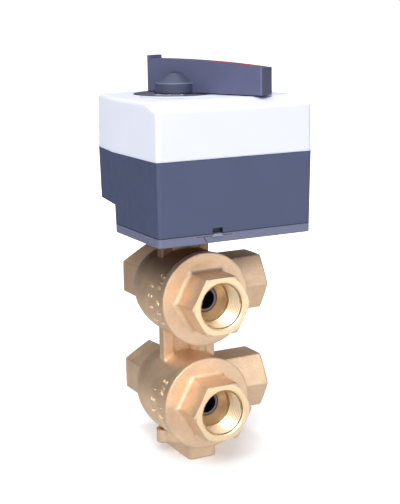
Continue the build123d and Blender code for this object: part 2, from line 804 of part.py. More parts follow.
# Output sleeve: square socket below, double flat for the gears, square for the lever
with BuildPart() as output_sleeve:
    with BuildSketch(Plane.XY.offset(sleeve_bottom_z)):
        Circle(sleeve_radius)
    extrude(amount=cam_z - sleeve_bottom_z)
    with BuildSketch(Plane.XY.offset(cam_z)):
        Circle(sleeve_radius)
        Rectangle(2 * sleeve_radius, sleeve_flats, mode=Mode.INTERSECT)
    extrude(amount=sleeve_shoulder_z - cam_z)
    with BuildSketch(Plane.XY.offset(sleeve_shoulder_z)):
        Circle(neck_radius)
    extrude(amount=lever_bottom_z - sleeve_shoulder_z)
    with BuildSketch(Plane.XY.offset(lever_bottom_z)):
        Rectangle(sleeve_top_flats, sleeve_top_flats)
    extrude(amount=sleeve_lever_depth)
    with BuildSketch(Plane.XY.offset(sleeve_bottom_z)):
        Rectangle(square_flats + 2 * sleeve_fit, square_flats + 2 * sleeve_fit)
    extrude(amount=socket_depth, mode=Mode.SUBTRACT)
    with BuildSketch(Plane.XY.offset(clip_z - pin_fit)):
        Circle(sleeve_radius)
        Circle(neck_radius - clip_depth, mode=Mode.SUBTRACT)
    extrude(amount=clip_thickness + 2 * pin_fit, mode=Mode.SUBTRACT)
finish(output_sleeve.part, "output_sleeve")

base_bush_z = base_z + adapter_spigot_height
for name, bush_z, height, bore in (
    ("base_bush", base_bush_z, housing_z + base_boss_height - base_bush_z, sleeve_radius),
    ("cover_bush", cover_bush_z, cover_bush_height, neck_radius),
):
    with BuildPart() as bush:
        with BuildSketch(Plane.XY.offset(bush_z)):
            Circle(bore + bush_thickness - sleeve_fit)
            Circle(bore + sleeve_fit, mode=Mode.SUBTRACT)
        extrude(amount=height)
    finish(bush.part, name)


def gear_outline(teeth, module, phase):
    """Points of an involute gear outline, with one tooth centred on the phase angle."""
    pitch = teeth * module / 2
    base = pitch * cos(radians(pressure_angle))
    tip = pitch + addendum * module
    root = pitch - dedendum * module
    involute_at_pitch = tan(radians(pressure_angle)) - radians(pressure_angle)
    half_tooth = (pi * module / 2 - backlash * module) / (2 * pitch)
    start = max(base, root)
    flank = []
    for step in range(flank_steps + 1):
        radius = start + (tip - start) * step / flank_steps
        roll = acos(min(1.0, base / radius))
        flank.append((radius, half_tooth + involute_at_pitch - (tan(roll) - roll)))
    flank.insert(0, (root, flank[0][1] + root_relief))
    points = []
    for tooth in range(teeth):
        centre = radians(phase) + 2 * pi * tooth / teeth
        sides = [(r, centre - a) for r, a in flank] + [(r, centre + a) for r, a in reversed(flank)]
        points += [(r * cos(a), r * sin(a)) for r, a in sides]
    return points


def make_gear(teeth, module, phase, place, bottom_z, height):
    """Solid gear with its axis at a place in plan."""
    with BuildPart() as gear:
        with BuildSketch(Plane.XY.offset(bottom_z)):
            with BuildLine():
                outline = [(place[0] + x, place[1] + y) for x, y in gear_outline(teeth, module, phase)]
                Polyline(*outline, close=True)
            make_face()
        extrude(amount=height)
    return gear.part


output_pitch = output_teeth * output_module / 2
pinion_pitch = pinion_teeth * output_module / 2
wheel_pitch = wheel_teeth * wheel_module / 2
motor_pitch = motor_teeth * wheel_module / 2
first_distance = output_pitch + pinion_pitch
second_distance = wheel_pitch + motor_pitch
gear_place = (
    first_distance * cos(radians(intermediate_angle)),
    first_distance * sin(radians(intermediate_angle)),
)
motor_place = (
    gear_place[0] + second_distance * cos(radians(motor_angle)),
    gear_place[1] + second_distance * sin(radians(motor_angle)),
)

with BuildPart() as output_gear:
    add(make_gear(
        output_teeth, output_module, intermediate_angle, (0, 0), output_gear_z, output_gear_height
    ))
    with BuildSketch(Plane.XY.offset(output_hub_z)):
        Circle(sleeve_radius + wall)
    extrude(amount=output_gear_z - output_hub_z)
    with BuildSketch(Plane.XY.offset(output_hub_z)):
        Circle(sleeve_radius + sleeve_fit)
        Rectangle(2 * sleeve_radius + 1, sleeve_flats + 2 * sleeve_fit, mode=Mode.INTERSECT)
    extrude(amount=output_gear_z + output_gear_height - output_hub_z, mode=Mode.SUBTRACT)
    with BuildSketch(Plane.XY.offset(output_gear_z)):
        with PolarLocations(web_hole_circle, web_hole_count):
            Circle(web_hole_radius)
    extrude(amount=output_gear_height, mode=Mode.SUBTRACT)
finish(output_gear.part, "output_gear")

with BuildPart() as gear_clip:
    with BuildSketch(Plane.XY.offset(clip_z)):
        Circle(sleeve_radius + clip_depth)
        Circle(neck_radius - clip_depth + pin_fit, mode=Mode.SUBTRACT)
        with Locations((sleeve_radius, 0)):
            Rectangle(2 * sleeve_radius, 2 * clip_gap, mode=Mode.SUBTRACT)
    extrude(amount=clip_thickness)
finish(gear_clip.part, "gear_clip")

with BuildPart() as switch_cam:
    with BuildSketch(Plane.XY.offset(cam_z)):
        Circle(cam_radius)
        with PolarLocations(cam_radius + cam_lobe - cam_lobe_radius, 2, angular_range=90, endpoint=True):
            Circle(cam_lobe_radius)
    extrude(amount=cam_height)
    with BuildSketch(Plane.XY.offset(cam_z)):
        Circle(sleeve_radius + sleeve_fit)
        Rectangle(2 * sleeve_radius + 1, sleeve_flats + 2 * sleeve_fit, mode=Mode.INTERSECT)
    extrude(amount=cam_height, mode=Mode.SUBTRACT)
finish(switch_cam.part, "switch_cam")

# Gear train: the motor pinion drives the wheel, and its pinion drives the output gear
with BuildPart() as intermediate_gear:
    add(make_gear(
        wheel_teeth, wheel_module, motor_angle, gear_place, wheel_z, wheel_height,
    ))
    add(make_gear(
        pinion_teeth, output_module, intermediate_angle + 180 + 180 / pinion_teeth,
        gear_place, wheel_z + wheel_height, pinion_top_z - wheel_z - wheel_height,
    ))
    with BuildSketch(Plane.XY.offset(plate_top_z + body_gap)):
        with Locations(gear_place):
            Circle(2 * pin_radius)
    extrude(amount=wheel_z - plate_top_z - body_gap)
    with BuildSketch(Plane.XY.offset(plate_top_z)):
        with Locations(gear_place):
            Circle(pin_radius + pin_fit)
    extrude(amount=pinion_top_z - plate_top_z, mode=Mode.SUBTRACT)
finish(intermediate_gear.part, "intermediate_gear")

with BuildPart() as gear_pin:
    with BuildSketch(Plane.XY.offset(plate_z)):
        with Locations(gear_place):
            Circle(pin_radius)
    extrude(amount=pinion_top_z + body_gap - plate_z)
    with BuildSketch(Plane.XY.offset(pinion_top_z + body_gap)):
        with Locations(gear_place):
            Circle(pin_head_radius)
    extrude(amount=pin_head_height)
    chamfer(gear_pin.edges().group_by(Axis.Z)[-1], pin_head_height / 2)
finish(gear_pin.part, "gear_pin")

with BuildPart() as motor_pinion:
    add(make_gear(
        motor_teeth, wheel_module, motor_angle + 180 + 180 / motor_teeth,
        motor_place, wheel_z, wheel_height,
    ))
    with BuildSketch(Plane.XY.offset(plate_z - motor_shaft_depth)):
        with Locations(motor_place):
            Circle(motor_shaft_radius)
    extrude(amount=wheel_z + wheel_height + body_gap - plate_z + motor_shaft_depth)
finish(motor_pinion.part, "motor_pinion")

motor_screw_spots = [
    (
        motor_place[0] + motor_screw_circle * cos(radians(angle)),
        motor_place[1] + motor_screw_circle * sin(radians(angle)),
    )
    for angle in (motor_screw_angle, motor_screw_angle + 180)
]
with BuildPart() as motor:
    with BuildSketch(Plane.XY.offset(plate_z - motor_height)):
        with Locations(motor_place):
            Circle(motor_radius)
    extrude(amount=motor_height)
    fillet(motor.edges().group_by(Axis.Z)[0], motor_corner)
    with BuildSketch(Plane.XY.offset(plate_z)):
        with Locations(motor_place):
            Circle(motor_shaft_radius + pin_fit)
    extrude(amount=-motor_shaft_depth - body_gap, mode=Mode.SUBTRACT)
    with BuildSketch(Plane.XY.offset(plate_z)):
        with Locations(*motor_screw_spots):
            Circle(small_screw_radius + thread_fit)
    extrude(amount=-small_screw_depth, mode=Mode.SUBTRACT)
finish(motor.part, "motor")

# Gear plate on its four posts
with BuildPart() as gear_plate:
    with BuildSketch(Plane.XY.offset(plate_z)):
        with Locations(((plate_right - plate_left) / 2, (plate_back - plate_front) / 2)):
            RectangleRounded(plate_left + plate_right, plate_front + plate_back, post_radius)
        Circle(sleeve_radius + plate_clearance, mode=Mode.SUBTRACT)
        with Locations(gear_place):
            Circle(pin_radius + thread_fit, mode=Mode.SUBTRACT)
        with Locations(motor_place):
            Circle(2 * motor_shaft_radius, mode=Mode.SUBTRACT)
        with Locations(*motor_screw_spots, *post_places):
            Circle(small_screw_radius + thread_fit, mode=Mode.SUBTRACT)
    extrude(amount=plate_thickness)
finish(gear_plate.part, "gear_plate")


def make_small_screws(places, seat_z, depth):
    """Group of identical pan-head screws driven downwards at the given places."""
    with BuildPart() as screws:
        with BuildSketch(Plane.XY.offset(seat_z - depth)):
            with Locations(*places):
                Circle(small_screw_radius)
        extrude(amount=depth)
        with BuildSketch(Plane.XY.offset(seat_z)):
            with Locations(*places):
                Circle(2 * small_screw_radius)
        extrude(amount=small_screw_head)
        chamfer(screws.edges().group_by(Axis.Z)[-1], small_screw_head / 3)
        with BuildSketch(Plane.XY.offset(seat_z + small_screw_head)):
            with Locations(*places):
                Rectangle(4 * small_screw_radius, small_screw_radius / 2)
        extrude(amount=-small_screw_head / 2, mode=Mode.SUBTRACT)
    return screws.part


def make_posts(places, height):
    """Group of posts that stand on the base plate, bored for their screws."""
    with BuildPart() as posts:
        with BuildSketch(Plane.XY.offset(housing_z)):
            with Locations(*places):
                Circle(post_radius)
        extrude(amount=height)
        with BuildSketch(Plane.XY.offset(housing_z + height)):
            with Locations(*places):
                Circle(small_screw_radius + thread_fit)
        extrude(amount=-small_screw_depth, mode=Mode.SUBTRACT)
    return posts.part


board_top_z = housing_z + board_post_height + board_thickness
board_y = (board_front_y + board_back_y) / 2
board_x = (board_left_x + board_right_x) / 2
finish(make_posts(post_places, post_height), "plate_posts")
finish(make_posts(board_post_places, board_post_height), "board_posts")
plate_screw_length = plate_thickness + small_screw_depth - thread_fit
board_screw_length = board_thickness + small_screw_depth - thread_fit
finish(make_small_screws(post_places, plate_top_z, plate_screw_length), "plate_screws")
finish(make_small_screws(motor_screw_spots, plate_top_z, plate_screw_length), "motor_screws")
finish(make_small_screws(board_post_places, board_top_z, board_screw_length), "board_screws")

# Limit switches, one on each side of the cam
switch_inner = cam_radius + cam_lobe + cam_gap
with BuildPart() as limit_switches:
    for side in (1, -1):
        with BuildSketch(Plane.XY.offset(plate_top_z)):
            with Locations((side * (switch_inner + switch_width / 2), switch_y)):
                Rectangle(switch_width, switch_length)
        extrude(amount=switch_height)
        with BuildSketch(Plane.XY.offset(plate_top_z + switch_height)):
            with Locations((side * (switch_inner + switch_width / 2), switch_y)):
                with GridLocations(switch_width, switch_length / 2, 1, 2):
                    Circle(small_screw_radius)
        extrude(amount=-switch_height / 2, mode=Mode.SUBTRACT)
finish(limit_switches.part, "limit_switches")

# Circuit board with its terminal block and components
with BuildPart() as circuit_board:
    with BuildSketch(Plane.XY.offset(board_top_z - board_thickness)):
        with Locations((board_x, board_y)):
            RectangleRounded(board_right_x - board_left_x, board_back_y - board_front_y, small_screw_radius)
        with Locations(*board_post_places):
            Circle(small_screw_radius + thread_fit, mode=Mode.SUBTRACT)
    extrude(amount=board_thickness)
finish(circuit_board.part, "circuit_board")

with BuildPart() as terminal_block:
    with BuildSketch(Plane.XY.offset(board_top_z)):
        with Locations((board_x, terminal_y)):
            Rectangle(terminal_width, terminal_count * terminal_pitch)
    extrude(amount=terminal_height)
    with BuildSketch(Plane.XY.offset(board_top_z + terminal_height)):
        with Locations((board_x, terminal_y)):
            with GridLocations(terminal_pitch, terminal_pitch, 1, terminal_count):
                Circle(terminal_pitch / 3)
    extrude(amount=-terminal_height / 3, mode=Mode.SUBTRACT)
    with BuildSketch(side_plane(board_x - terminal_width / 2, board_top_z + terminal_height / 3)):
        with Locations((terminal_y, 0)):
            with GridLocations(terminal_pitch, terminal_pitch, terminal_count, 1):
                Rectangle(terminal_pitch / 2, terminal_height / 3)
    extrude(amount=terminal_width / 3, mode=Mode.SUBTRACT)
finish(terminal_block.part, "terminal_block")

with BuildPart() as board_parts:
    with BuildSketch(Plane.XY.offset(board_top_z)):
        with Locations((board_x, relay_y)):
            Rectangle(terminal_width, relay_length)
    extrude(amount=relay_height)
    with BuildSketch(Plane.XY.offset(board_top_z)):
        with Locations((board_x, capacitor_y)):
            Circle(capacitor_radius)
    extrude(amount=relay_height)
finish(board_parts.part, "board_parts")

# Lever: hub with a conical dome, raised heel block and arched blade
heel_x = -lever_heel
notch_x = heel_x + lever_block
lever_plane = Plane(
    origin=(0, 0, cover_top_z),
    x_dir=(cos(radians(lever_angle)), sin(radians(lever_angle)), 0),
    z_dir=(sin(radians(lever_angle)), -cos(radians(lever_angle)), 0),
).offset(-lever_offset)


def draw_arch(drop):
    """Arc along the top of the blade, lowered by a drop, from the notch to the tip."""
    ThreePointArc(
        (notch_x, lever_height - lever_notch - drop),
        (lever_mid_x, lever_mid_height - drop),
        (lever_reach, lever_tip_height - drop),
    )


def make_inlay(fit):
    """Strip let into the top of the blade, grown on every side by the fit."""
    with BuildPart() as strip:
        with BuildSketch(lever_plane) as strip_sketch:
            with BuildLine():
                draw_arch(0)
                draw_arch(inlay_depth + fit)
                groove = inlay_depth + fit
                Line((notch_x, lever_height - lever_notch), (notch_x, lever_height - lever_notch - groove))
                Line((lever_reach, lever_tip_height), (lever_reach, lever_tip_height - groove))
            make_face()
            with Locations(((inlay_start + inlay_end) / 2, lever_mid_height)):
                Rectangle(inlay_end - inlay_start + 2 * fit, lever_height, mode=Mode.INTERSECT)
        extrude(amount=inlay_width / 2 + fit, both=True)
    return strip.part


with BuildPart() as lever:
    with BuildSketch(Plane.XY.offset(lever_bottom_z)):
        Circle(hub_radius)
    extrude(amount=hub_height)
    with BuildSketch(Plane.XZ):
        with BuildLine():
            hub_top_z = lever_bottom_z + hub_height
            Polyline(
                (0, hub_top_z), (hub_radius, hub_top_z),
                (hub_dome_radius, cover_top_z + hub_dome_height), (0, cover_top_z + hub_dome_height),
                close=True,
            )
        make_face()
    revolve(axis=Axis.Z)
    with BuildSketch(lever_plane):
        with BuildLine():
            draw_arch(0)
            Line((lever_reach, lever_tip_height), (lever_reach, lever_gap))
            Line((lever_reach, lever_gap), (heel_x, lever_gap))
            Line((heel_x, lever_gap), (heel_x, lever_height))
            Line((heel_x, lever_height), (notch_x, lever_height))
            Line((notch_x, lever_height), (notch_x, lever_height - lever_notch))
        make_face()
    extrude(amount=lever_thickness / 2, both=True)
    blade_edges = lever.edges().filter_by(Axis.Z)
    tip_edges = blade_edges.filter_by(
        lambda e: lever_plane.to_local_coords(e.center()).X > lever_reach - 0.1
    )
    fillet(tip_edges, lever_edge)
    add(make_inlay(inlay_fit), mode=Mode.SUBTRACT)
    with BuildSketch(Plane.XY.offset(lever_bottom_z)):
        Rectangle(sleeve_top_flats + 2 * sleeve_fit, sleeve_top_flats + 2 * sleeve_fit)
    extrude(amount=sleeve_lever_depth + sleeve_fit, mode=Mode.SUBTRACT)
finish(lever.part, "lever")
finish(make_inlay(0), "lever_inlay")
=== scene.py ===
from math import cos, pi, radians, sin

import bmesh
import bpy
from mathutils import Matrix, Vector


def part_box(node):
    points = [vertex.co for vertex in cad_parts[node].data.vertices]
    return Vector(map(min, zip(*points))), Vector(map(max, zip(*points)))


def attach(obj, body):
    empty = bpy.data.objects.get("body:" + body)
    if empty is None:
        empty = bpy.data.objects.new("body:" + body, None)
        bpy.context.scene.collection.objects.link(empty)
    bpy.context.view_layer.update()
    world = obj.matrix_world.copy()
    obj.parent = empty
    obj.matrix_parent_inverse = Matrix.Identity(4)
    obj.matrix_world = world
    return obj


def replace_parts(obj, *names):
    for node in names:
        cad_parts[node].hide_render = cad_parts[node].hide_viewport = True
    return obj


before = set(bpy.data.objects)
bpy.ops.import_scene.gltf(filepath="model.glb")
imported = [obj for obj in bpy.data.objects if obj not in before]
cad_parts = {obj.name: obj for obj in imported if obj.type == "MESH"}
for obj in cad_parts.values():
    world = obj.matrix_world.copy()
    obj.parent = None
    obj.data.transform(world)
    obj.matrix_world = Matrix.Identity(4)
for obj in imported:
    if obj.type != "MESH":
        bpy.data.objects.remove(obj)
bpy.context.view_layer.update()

bl_info = {
    "name": "Motorised Ball Valve",
    "version": (1, 0, 0),
    "blender": (4, 5, 0),
    "location": "View3D > Sidebar > Valve",
    "description": "Finishes and small pieces of a motorised six-port ball valve",
    "category": "Object",
}

MM = 0.001
PORT_LEVELS = (0.036, 0.0995)       # heights of the two rows of ports, in m
CAD_BORE = 12.06 * MM               # radius of a port before it is opened to its thread
CAD_CHAMFER = 2.0 * MM              # chamfer of a port before it is opened
THREAD_DEPTH = 16.0 * MM
MACHINED_RADIUS = 14.2 * MM         # within this radius a port is machined
LEVER_REACH = 61.2 * MM             # tip of the lever, from the stem axis
LEVER_ANGLE = radians(-65)          # direction of the lever at rest
HUB_RADIUS = 12.5 * MM              # just outside the hub of the lever
HUB_SHOULDER = 6.2 * MM             # where the hub's dome begins, above the cover
HUB_DOME = 6.1 * MM                 # height of the dome
HUB_SLOPE = 1.426                   # radius that the dome loses for each unit of height


def shade(red, green, blue):
    """A colour as it is seen on a screen, 0 to 255, as the linear colour that Blender uses."""
    parts = [channel / 255 for channel in (red, green, blue)]
    return tuple(p / 12.92 if p <= 0.04045 else ((p + 0.055) / 1.055) ** 2.4 for p in parts)


def colour(name, description, value):
    return bpy.props.FloatVectorProperty(
        name=name, description=description, subtype="COLOR", size=3, min=0, max=1, default=value
    )


def length(name, description, millimetres):
    return bpy.props.FloatProperty(
        name=name, description=description, subtype="DISTANCE", unit="LENGTH", min=0, default=millimetres * MM
    )


class ValveColours(bpy.types.PropertyGroup):
    brass: colour("Brass", "Colour of the cast brass", shade(238, 207, 175))
    brass_turned: colour("Turned brass", "Colour of machined brass", shade(250, 223, 184))
    case_dark: colour("Lower case", "Colour of the lower case", shade(72, 80, 110))
    case_white: colour("Cover", "Colour of the cover", shade(238, 240, 250))
    base: colour("Base strip", "Colour of the base plate", shade(112, 116, 142))
    lever: colour("Lever", "Colour of the lever", shade(88, 91, 120))
    inlay: colour("Inlay", "Colour of the strip on the lever", shade(150, 70, 84))
    dial: colour("Dial", "Colour of the dial ring", shade(84, 84, 102))
    print: colour("Print", "Colour of the printed marks on the dial", shade(226, 227, 238))
    # Also the colour of painted shade in the catch window, at the dial's outer edge and in the groove on the
    # base.
    gap: colour("Gaps", "Colour of narrow gaps between the moulded pieces", shade(14, 14, 20))
    floor: colour("Floor", "Colour of the floor", shade(244, 244, 246))


class ValveSizes(bpy.types.PropertyGroup):
    thread_radius: length("Thread radius", "Inside radius of a port before its thread", 13.2)
    mouth_chamfer: length("Mouth chamfer", "Chamfer at the mouth of every port", 0.9)
    front_mouth: length("Front mouth", "Stem axis to the mouth of a front port", 54.0)
    side_mouth: length("Side mouth", "Stem axis to the mouth of a side port", 50.9)
    rear_mouth: length("Rear mouth", "Stem axis to the mouth of a rear port", 46.5)
    thread_height: length("Thread height", "Height of a thread above the bore", 0.95)
    thread_pitch: length("Thread pitch", "Distance between two turns of a thread", 1.814)
    thread_turns: bpy.props.IntProperty(
        name="Thread turns", description="Turns of each thread", min=1, default=8
    )
    thread_start: length("Thread start", "Start of a thread behind the mouth of its port", 0.9)
    dial_marks: length("Dial marks", "Inside radius of the marks on the dial", 14.4)
    mark_length: length("Mark length", "Length of a mark on the dial", 5.0)
    mark_width: length("Mark width", "Width of a printed mark", 0.7)
    barrel_radius: length("Barrel radius", "Radius of the cast barrels where the numerals stand", 26.8)
    character_size: length("Character size", "Size of the cast numerals", 6.4)
    character_rise: length("Character rise", "Height of the cast numerals above the casting", 0.6)
    cast_round: length("Casting rounding", "Rounding seen on the edges of the casting", 1.9)


RANGE_SOCKETS = ("From Min", "From Max", "To Min", "To Max")


class Finish:
    """A material with its nodes. Patterns read Object coordinates, in metres."""

    def __init__(self, name, colour_value, metallic, roughness, rounding):
        self.material = bpy.data.materials.new(name)
        self.material.use_nodes = True
        self.tree = self.material.node_tree
        self.surface = self.tree.nodes["Principled BSDF"]
        self.surface.inputs["Base Color"].default_value = (*colour_value, 1)
        self.surface.inputs["Metallic"].default_value = metallic
        self.surface.inputs["Roughness"].default_value = roughness
        self.place = self.node("ShaderNodeTexCoord").outputs["Object"]
        self.edge = self.node("ShaderNodeBevel", samples=4)
        self.edge.inputs["Radius"].default_value = rounding
        self.normal = self.edge.outputs["Normal"]

    def node(self, kind, links=(), **settings):
        made = self.tree.nodes.new(kind)
        for name, value in settings.items():
            setattr(made, name, value)
        for socket, source in dict(links).items():
            self.set(made.inputs[socket], source)
        return made

    def set(self, socket, source):
        if isinstance(source, bpy.types.NodeSocket):
            self.tree.links.new(source, socket)
        else:
            socket.default_value = source

    def calc(self, operation, *values):
        made = self.node("ShaderNodeMath", operation=operation)
        for socket, value in zip(made.inputs, values):
            self.set(socket, value)
        return made.outputs[0]

    def axes(self):
        return self.node("ShaderNodeSeparateXYZ", {"Vector": self.place}).outputs

    def noise(self, grain, detail=2.0, dimensions="3D", source=None):
        made = self.node("ShaderNodeTexNoise", noise_dimensions=dimensions)
        made.inputs["Scale"].default_value = 1 / grain
        made.inputs["Detail"].default_value = detail
        self.set(made.inputs["W" if dimensions == "1D" else "Vector"], source or self.place)
        return made.outputs["Fac"]

    def span(self, source, low, high, start=0.3, end=0.7):
        made = self.node("ShaderNodeMapRange")
        for socket, value in zip(RANGE_SOCKETS, (start, end, low, high)):
            self.set(made.inputs[socket], value)
        self.set(made.inputs["Value"], source)
        return made.outputs["Result"]

    def blend(self, factor, first, second):
        made = self.node("ShaderNodeMix", data_type="RGBA")
        self.set(made.inputs[0], factor)
        for socket, value in ((made.inputs[6], first), (made.inputs[7], second)):
            self.set(socket, value if isinstance(value, bpy.types.NodeSocket) else (*value, 1))
        return made.outputs[2]

    def bump(self, height, depth, strength=1.0):
        made = self.node("ShaderNodeBump")
        made.inputs["Distance"].default_value = depth
        made.inputs["Strength"].default_value = strength
        self.set(made.inputs["Height"], height)
        self.set(made.inputs["Normal"], self.normal)
        self.normal = made.outputs["Normal"]

    def edge_wear_and_highlight(self, low, high):
        """1 on an edge and 0 on a plain surface, from how far the rounded normal leaves the true one."""
        true = self.node("ShaderNodeNewGeometry").outputs["Normal"]
        dot = self.node("ShaderNodeVectorMath", operation="DOT_PRODUCT")
        self.set(dot.inputs[0], self.edge.outputs["Normal"])
        self.set(dot.inputs[1], true)
        return self.span(dot.outputs["Value"], 1.0, 0.0, start=low, end=high)

    def paint(self, source):
        self.set(self.surface.inputs["Base Color"], source)

    def gloss(self, source):
        self.set(self.surface.inputs["Roughness"], source)

    def done(self):
        self.set(self.surface.inputs["Normal"], self.normal)
        return self.material


def tinted(value, factor):
    return tuple(min(1, channel * factor) for channel in value)


def moulded_plastic(name, value, roughness, grain=0.35, depth=0.02, spread=0.06, rounding=0.5):
    """Moulded plastic with a fine spark-eroded grain and a slightly uneven tone.

    Grain, depth and rounding are in mm.
    """
    finish = Finish(name, value, 0.0, roughness, rounding * MM)
    tone = finish.noise(0.03, 3)
    finish.paint(finish.blend(finish.span(tone, 0, 1), tinted(value, 1 - spread), tinted(value, 1 + spread)))
    rub = finish.noise(0.008, 4)
    finish.gloss(finish.span(rub, roughness - 0.05, roughness + 0.07))
    finish.bump(finish.noise(grain * MM, 2), depth * MM)
    return finish.done()


def lever_plastic(name, value, rounding):
    """Moulded lever with painted highlights at the tip's edge and the hub's rim, and painted shade on tip and
    hub.
    """
    finish = Finish(name, value, 0.0, 0.38, rounding * MM)
    axes = finish.axes()
    tone = finish.span(finish.noise(0.03, 3), 0, 1)
    shown = finish.blend(tone, tinted(value, 0.95), tinted(value, 1.05))
    along_x = finish.calc("MULTIPLY", axes["X"], cos(LEVER_ANGLE))
    along = finish.calc("ADD", along_x, finish.calc("MULTIPLY", axes["Y"], sin(LEVER_ANGLE)))
    from_stem = radius_of(finish, axes["X"], axes["Y"])
    above = finish.calc("SUBTRACT", axes["Z"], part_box("top_cover")[1].z + HUB_SHOULDER)
    lost = finish.calc("MULTIPLY", finish.calc("MAXIMUM", above, 0.0), HUB_SLOPE)
    sloped = finish.calc("ADD", from_stem, lost)
    below_top = finish.calc("LESS_THAN", above, HUB_DOME)
    hub_shade = finish.calc("MULTIPLY", finish.calc("LESS_THAN", sloped, HUB_RADIUS), below_top)
    # painted shade: the hub is darkened
    shown = finish.blend(finish.calc("MULTIPLY", hub_shade, 0.6), shown, tinted(value, 0.4))
    # painted highlight: a bright ring at the hub's shoulder, where the dome begins
    hub_shoulder_highlight = finish.calc("MULTIPLY", finish.calc("LESS_THAN", finish.calc("ABSOLUTE", above), 0.35 * MM), 0.35)
    hub_shoulder_highlight = finish.calc("MULTIPLY", hub_shoulder_highlight, between(finish, from_stem, HUB_RADIUS - MM, HUB_RADIUS))
    shown = finish.blend(hub_shoulder_highlight, shown, tinted(value, 3.0))
    # painted highlight: a bright band along the edge of the tip
    corner = between(finish, along, LEVER_REACH - 1.3 * MM, LEVER_REACH - 0.5 * MM)
    tip_edge_highlight = finish.calc("MULTIPLY", corner, 0.4)
    shown = finish.blend(tip_edge_highlight, shown, tinted(value, 2.2))
    # painted shade: the end face of the tip is darkened
    tip = finish.span(along, 0, 0.6, start=LEVER_REACH - 0.6 * MM, end=LEVER_REACH - 0.2 * MM)
    shown = finish.blend(tip, shown, tinted(value, 0.3))
    finish.paint(shown)
    finish.gloss(finish.span(finish.noise(0.008, 4), 0.34, 0.45))
    finish.bump(finish.noise(0.35 * MM, 2), 0.02 * MM)
    return finish.done()


def dial_plastic(name, value, dark, radius):
    """Moulded ring with painted shade at its outer edge and painted light on its left part."""
    finish = Finish(name, value, 0.0, 0.32, 0.15 * MM)
    axes = finish.axes()
    from_stem = radius_of(finish, axes["X"], axes["Y"])
    shown = finish.blend(finish.span(finish.noise(0.02, 3), 0, 1), tinted(value, 0.9), tinted(value, 1.1))
    # painted light: the left part of the ring is paler
    shown = finish.blend(finish.span(axes["X"], 0.3, 0, start=-0.02, end=-0.01), shown, tinted(value, 2.0))
    # painted shade: the outer edge of the ring takes the dark colour
    outer_edge_shade = finish.span(from_stem, 0, 0.85, start=radius - 1.1 * MM, end=radius - 0.8 * MM)
    finish.paint(finish.blend(outer_edge_shade, shown, dark))
    finish.bump(finish.noise(0.35 * MM, 2), 0.02 * MM)
    return finish.done()


def plain_metal(name, value, roughness, grain=0.25, depth=0.004, rounding=0.2):
    """Ground or plated metal with fine scratches."""
    finish = Finish(name, value, 1.0, roughness, rounding * MM)
    tone = finish.noise(0.006, 4)
    finish.paint(finish.blend(finish.span(tone, 0, 1), tinted(value, 0.9), tinted(value, 1.06)))
    finish.gloss(finish.span(finish.noise(grain * MM, 3), roughness - 0.06, roughness + 0.08))
    finish.bump(finish.noise(grain * MM, 3), depth * MM)
    return finish.done()


def between(finish, source, low, high):
    """1 where the source lies between two limits."""
    above = finish.calc("GREATER_THAN", source, low)
    return finish.calc("MULTIPLY", above, finish.calc("LESS_THAN", source, high))


def case_plastic(name, value, roughness, gap, edges, rounding, window=None, depth=0.02, spread=0.05):
    """Moulded case with dark gaps at its seams, and side walls that turn in without a crease.

    Edges are pairs of heights between which a seam is dark. A window, painted dark as painted shade, is given
    by its limits in X, in Z and in Y. Heights and limits are in m.
    """
    finish = Finish(name, value, 0.0, roughness, rounding * MM)
    axes = finish.axes()
    facing = finish.node("ShaderNodeSeparateXYZ", {"Vector": finish.normal}).outputs
    kept = finish.span(finish.calc("ABSOLUTE", facing["X"]), 1, 0, start=0.8, end=0.96)
    level = finish.calc("MULTIPLY", facing["Y"], kept)
    flat = finish.node("ShaderNodeCombineXYZ", {"X": facing["X"], "Y": level, "Z": facing["Z"]}).outputs[0]
    finish.normal = finish.node("ShaderNodeVectorMath", {0: flat}, operation="NORMALIZE").outputs[0]
    tone = finish.noise(0.03, 3)
    shown = finish.blend(finish.span(tone, 0, 1), tinted(value, 1 - spread), tinted(value, 1 + spread))
    dark = None
    for low, high in edges:
        seam = between(finish, axes["Z"], low, high)
        dark = finish.calc("MAXIMUM", dark, seam) if dark else seam
    # painted shade: the window takes the dark colour
    if window:
        inside = 1.0
        for axis, limits in zip("XZY", window):
            inside = finish.calc("MULTIPLY", inside, between(finish, axes[axis], *limits))
        dark = finish.calc("MAXIMUM", dark, inside) if dark else inside
    finish.paint(finish.blend(dark, shown, gap) if dark else shown)
    finish.gloss(finish.span(finish.noise(0.008, 4), roughness - 0.05, roughness + 0.07))
    finish.bump(finish.noise(0.35 * MM, 2), depth * MM)
    return finish.done()


def port_distance(finish, axes):
    """Height above or below the nearer row of ports."""
    low = finish.calc("ABSOLUTE", finish.calc("SUBTRACT", axes["Z"], PORT_LEVELS[0]))
    high = finish.calc("ABSOLUTE", finish.calc("SUBTRACT", axes["Z"], PORT_LEVELS[1]))
    return finish.calc("MINIMUM", low, high)


def radius_of(finish, first, second):
    squares = finish.calc("ADD", finish.calc("POWER", first, 2.0), finish.calc("POWER", second, 2.0))
    return finish.calc("SQRT", squares)


def port_radius(finish, axes):
    """Distance from the axis of the nearest port, for pieces that stand inside one."""
    across = finish.calc("MINIMUM", finish.calc("ABSOLUTE", axes["X"]), finish.calc("ABSOLUTE", axes["Y"]))
    return radius_of(finish, across, port_distance(finish, axes))


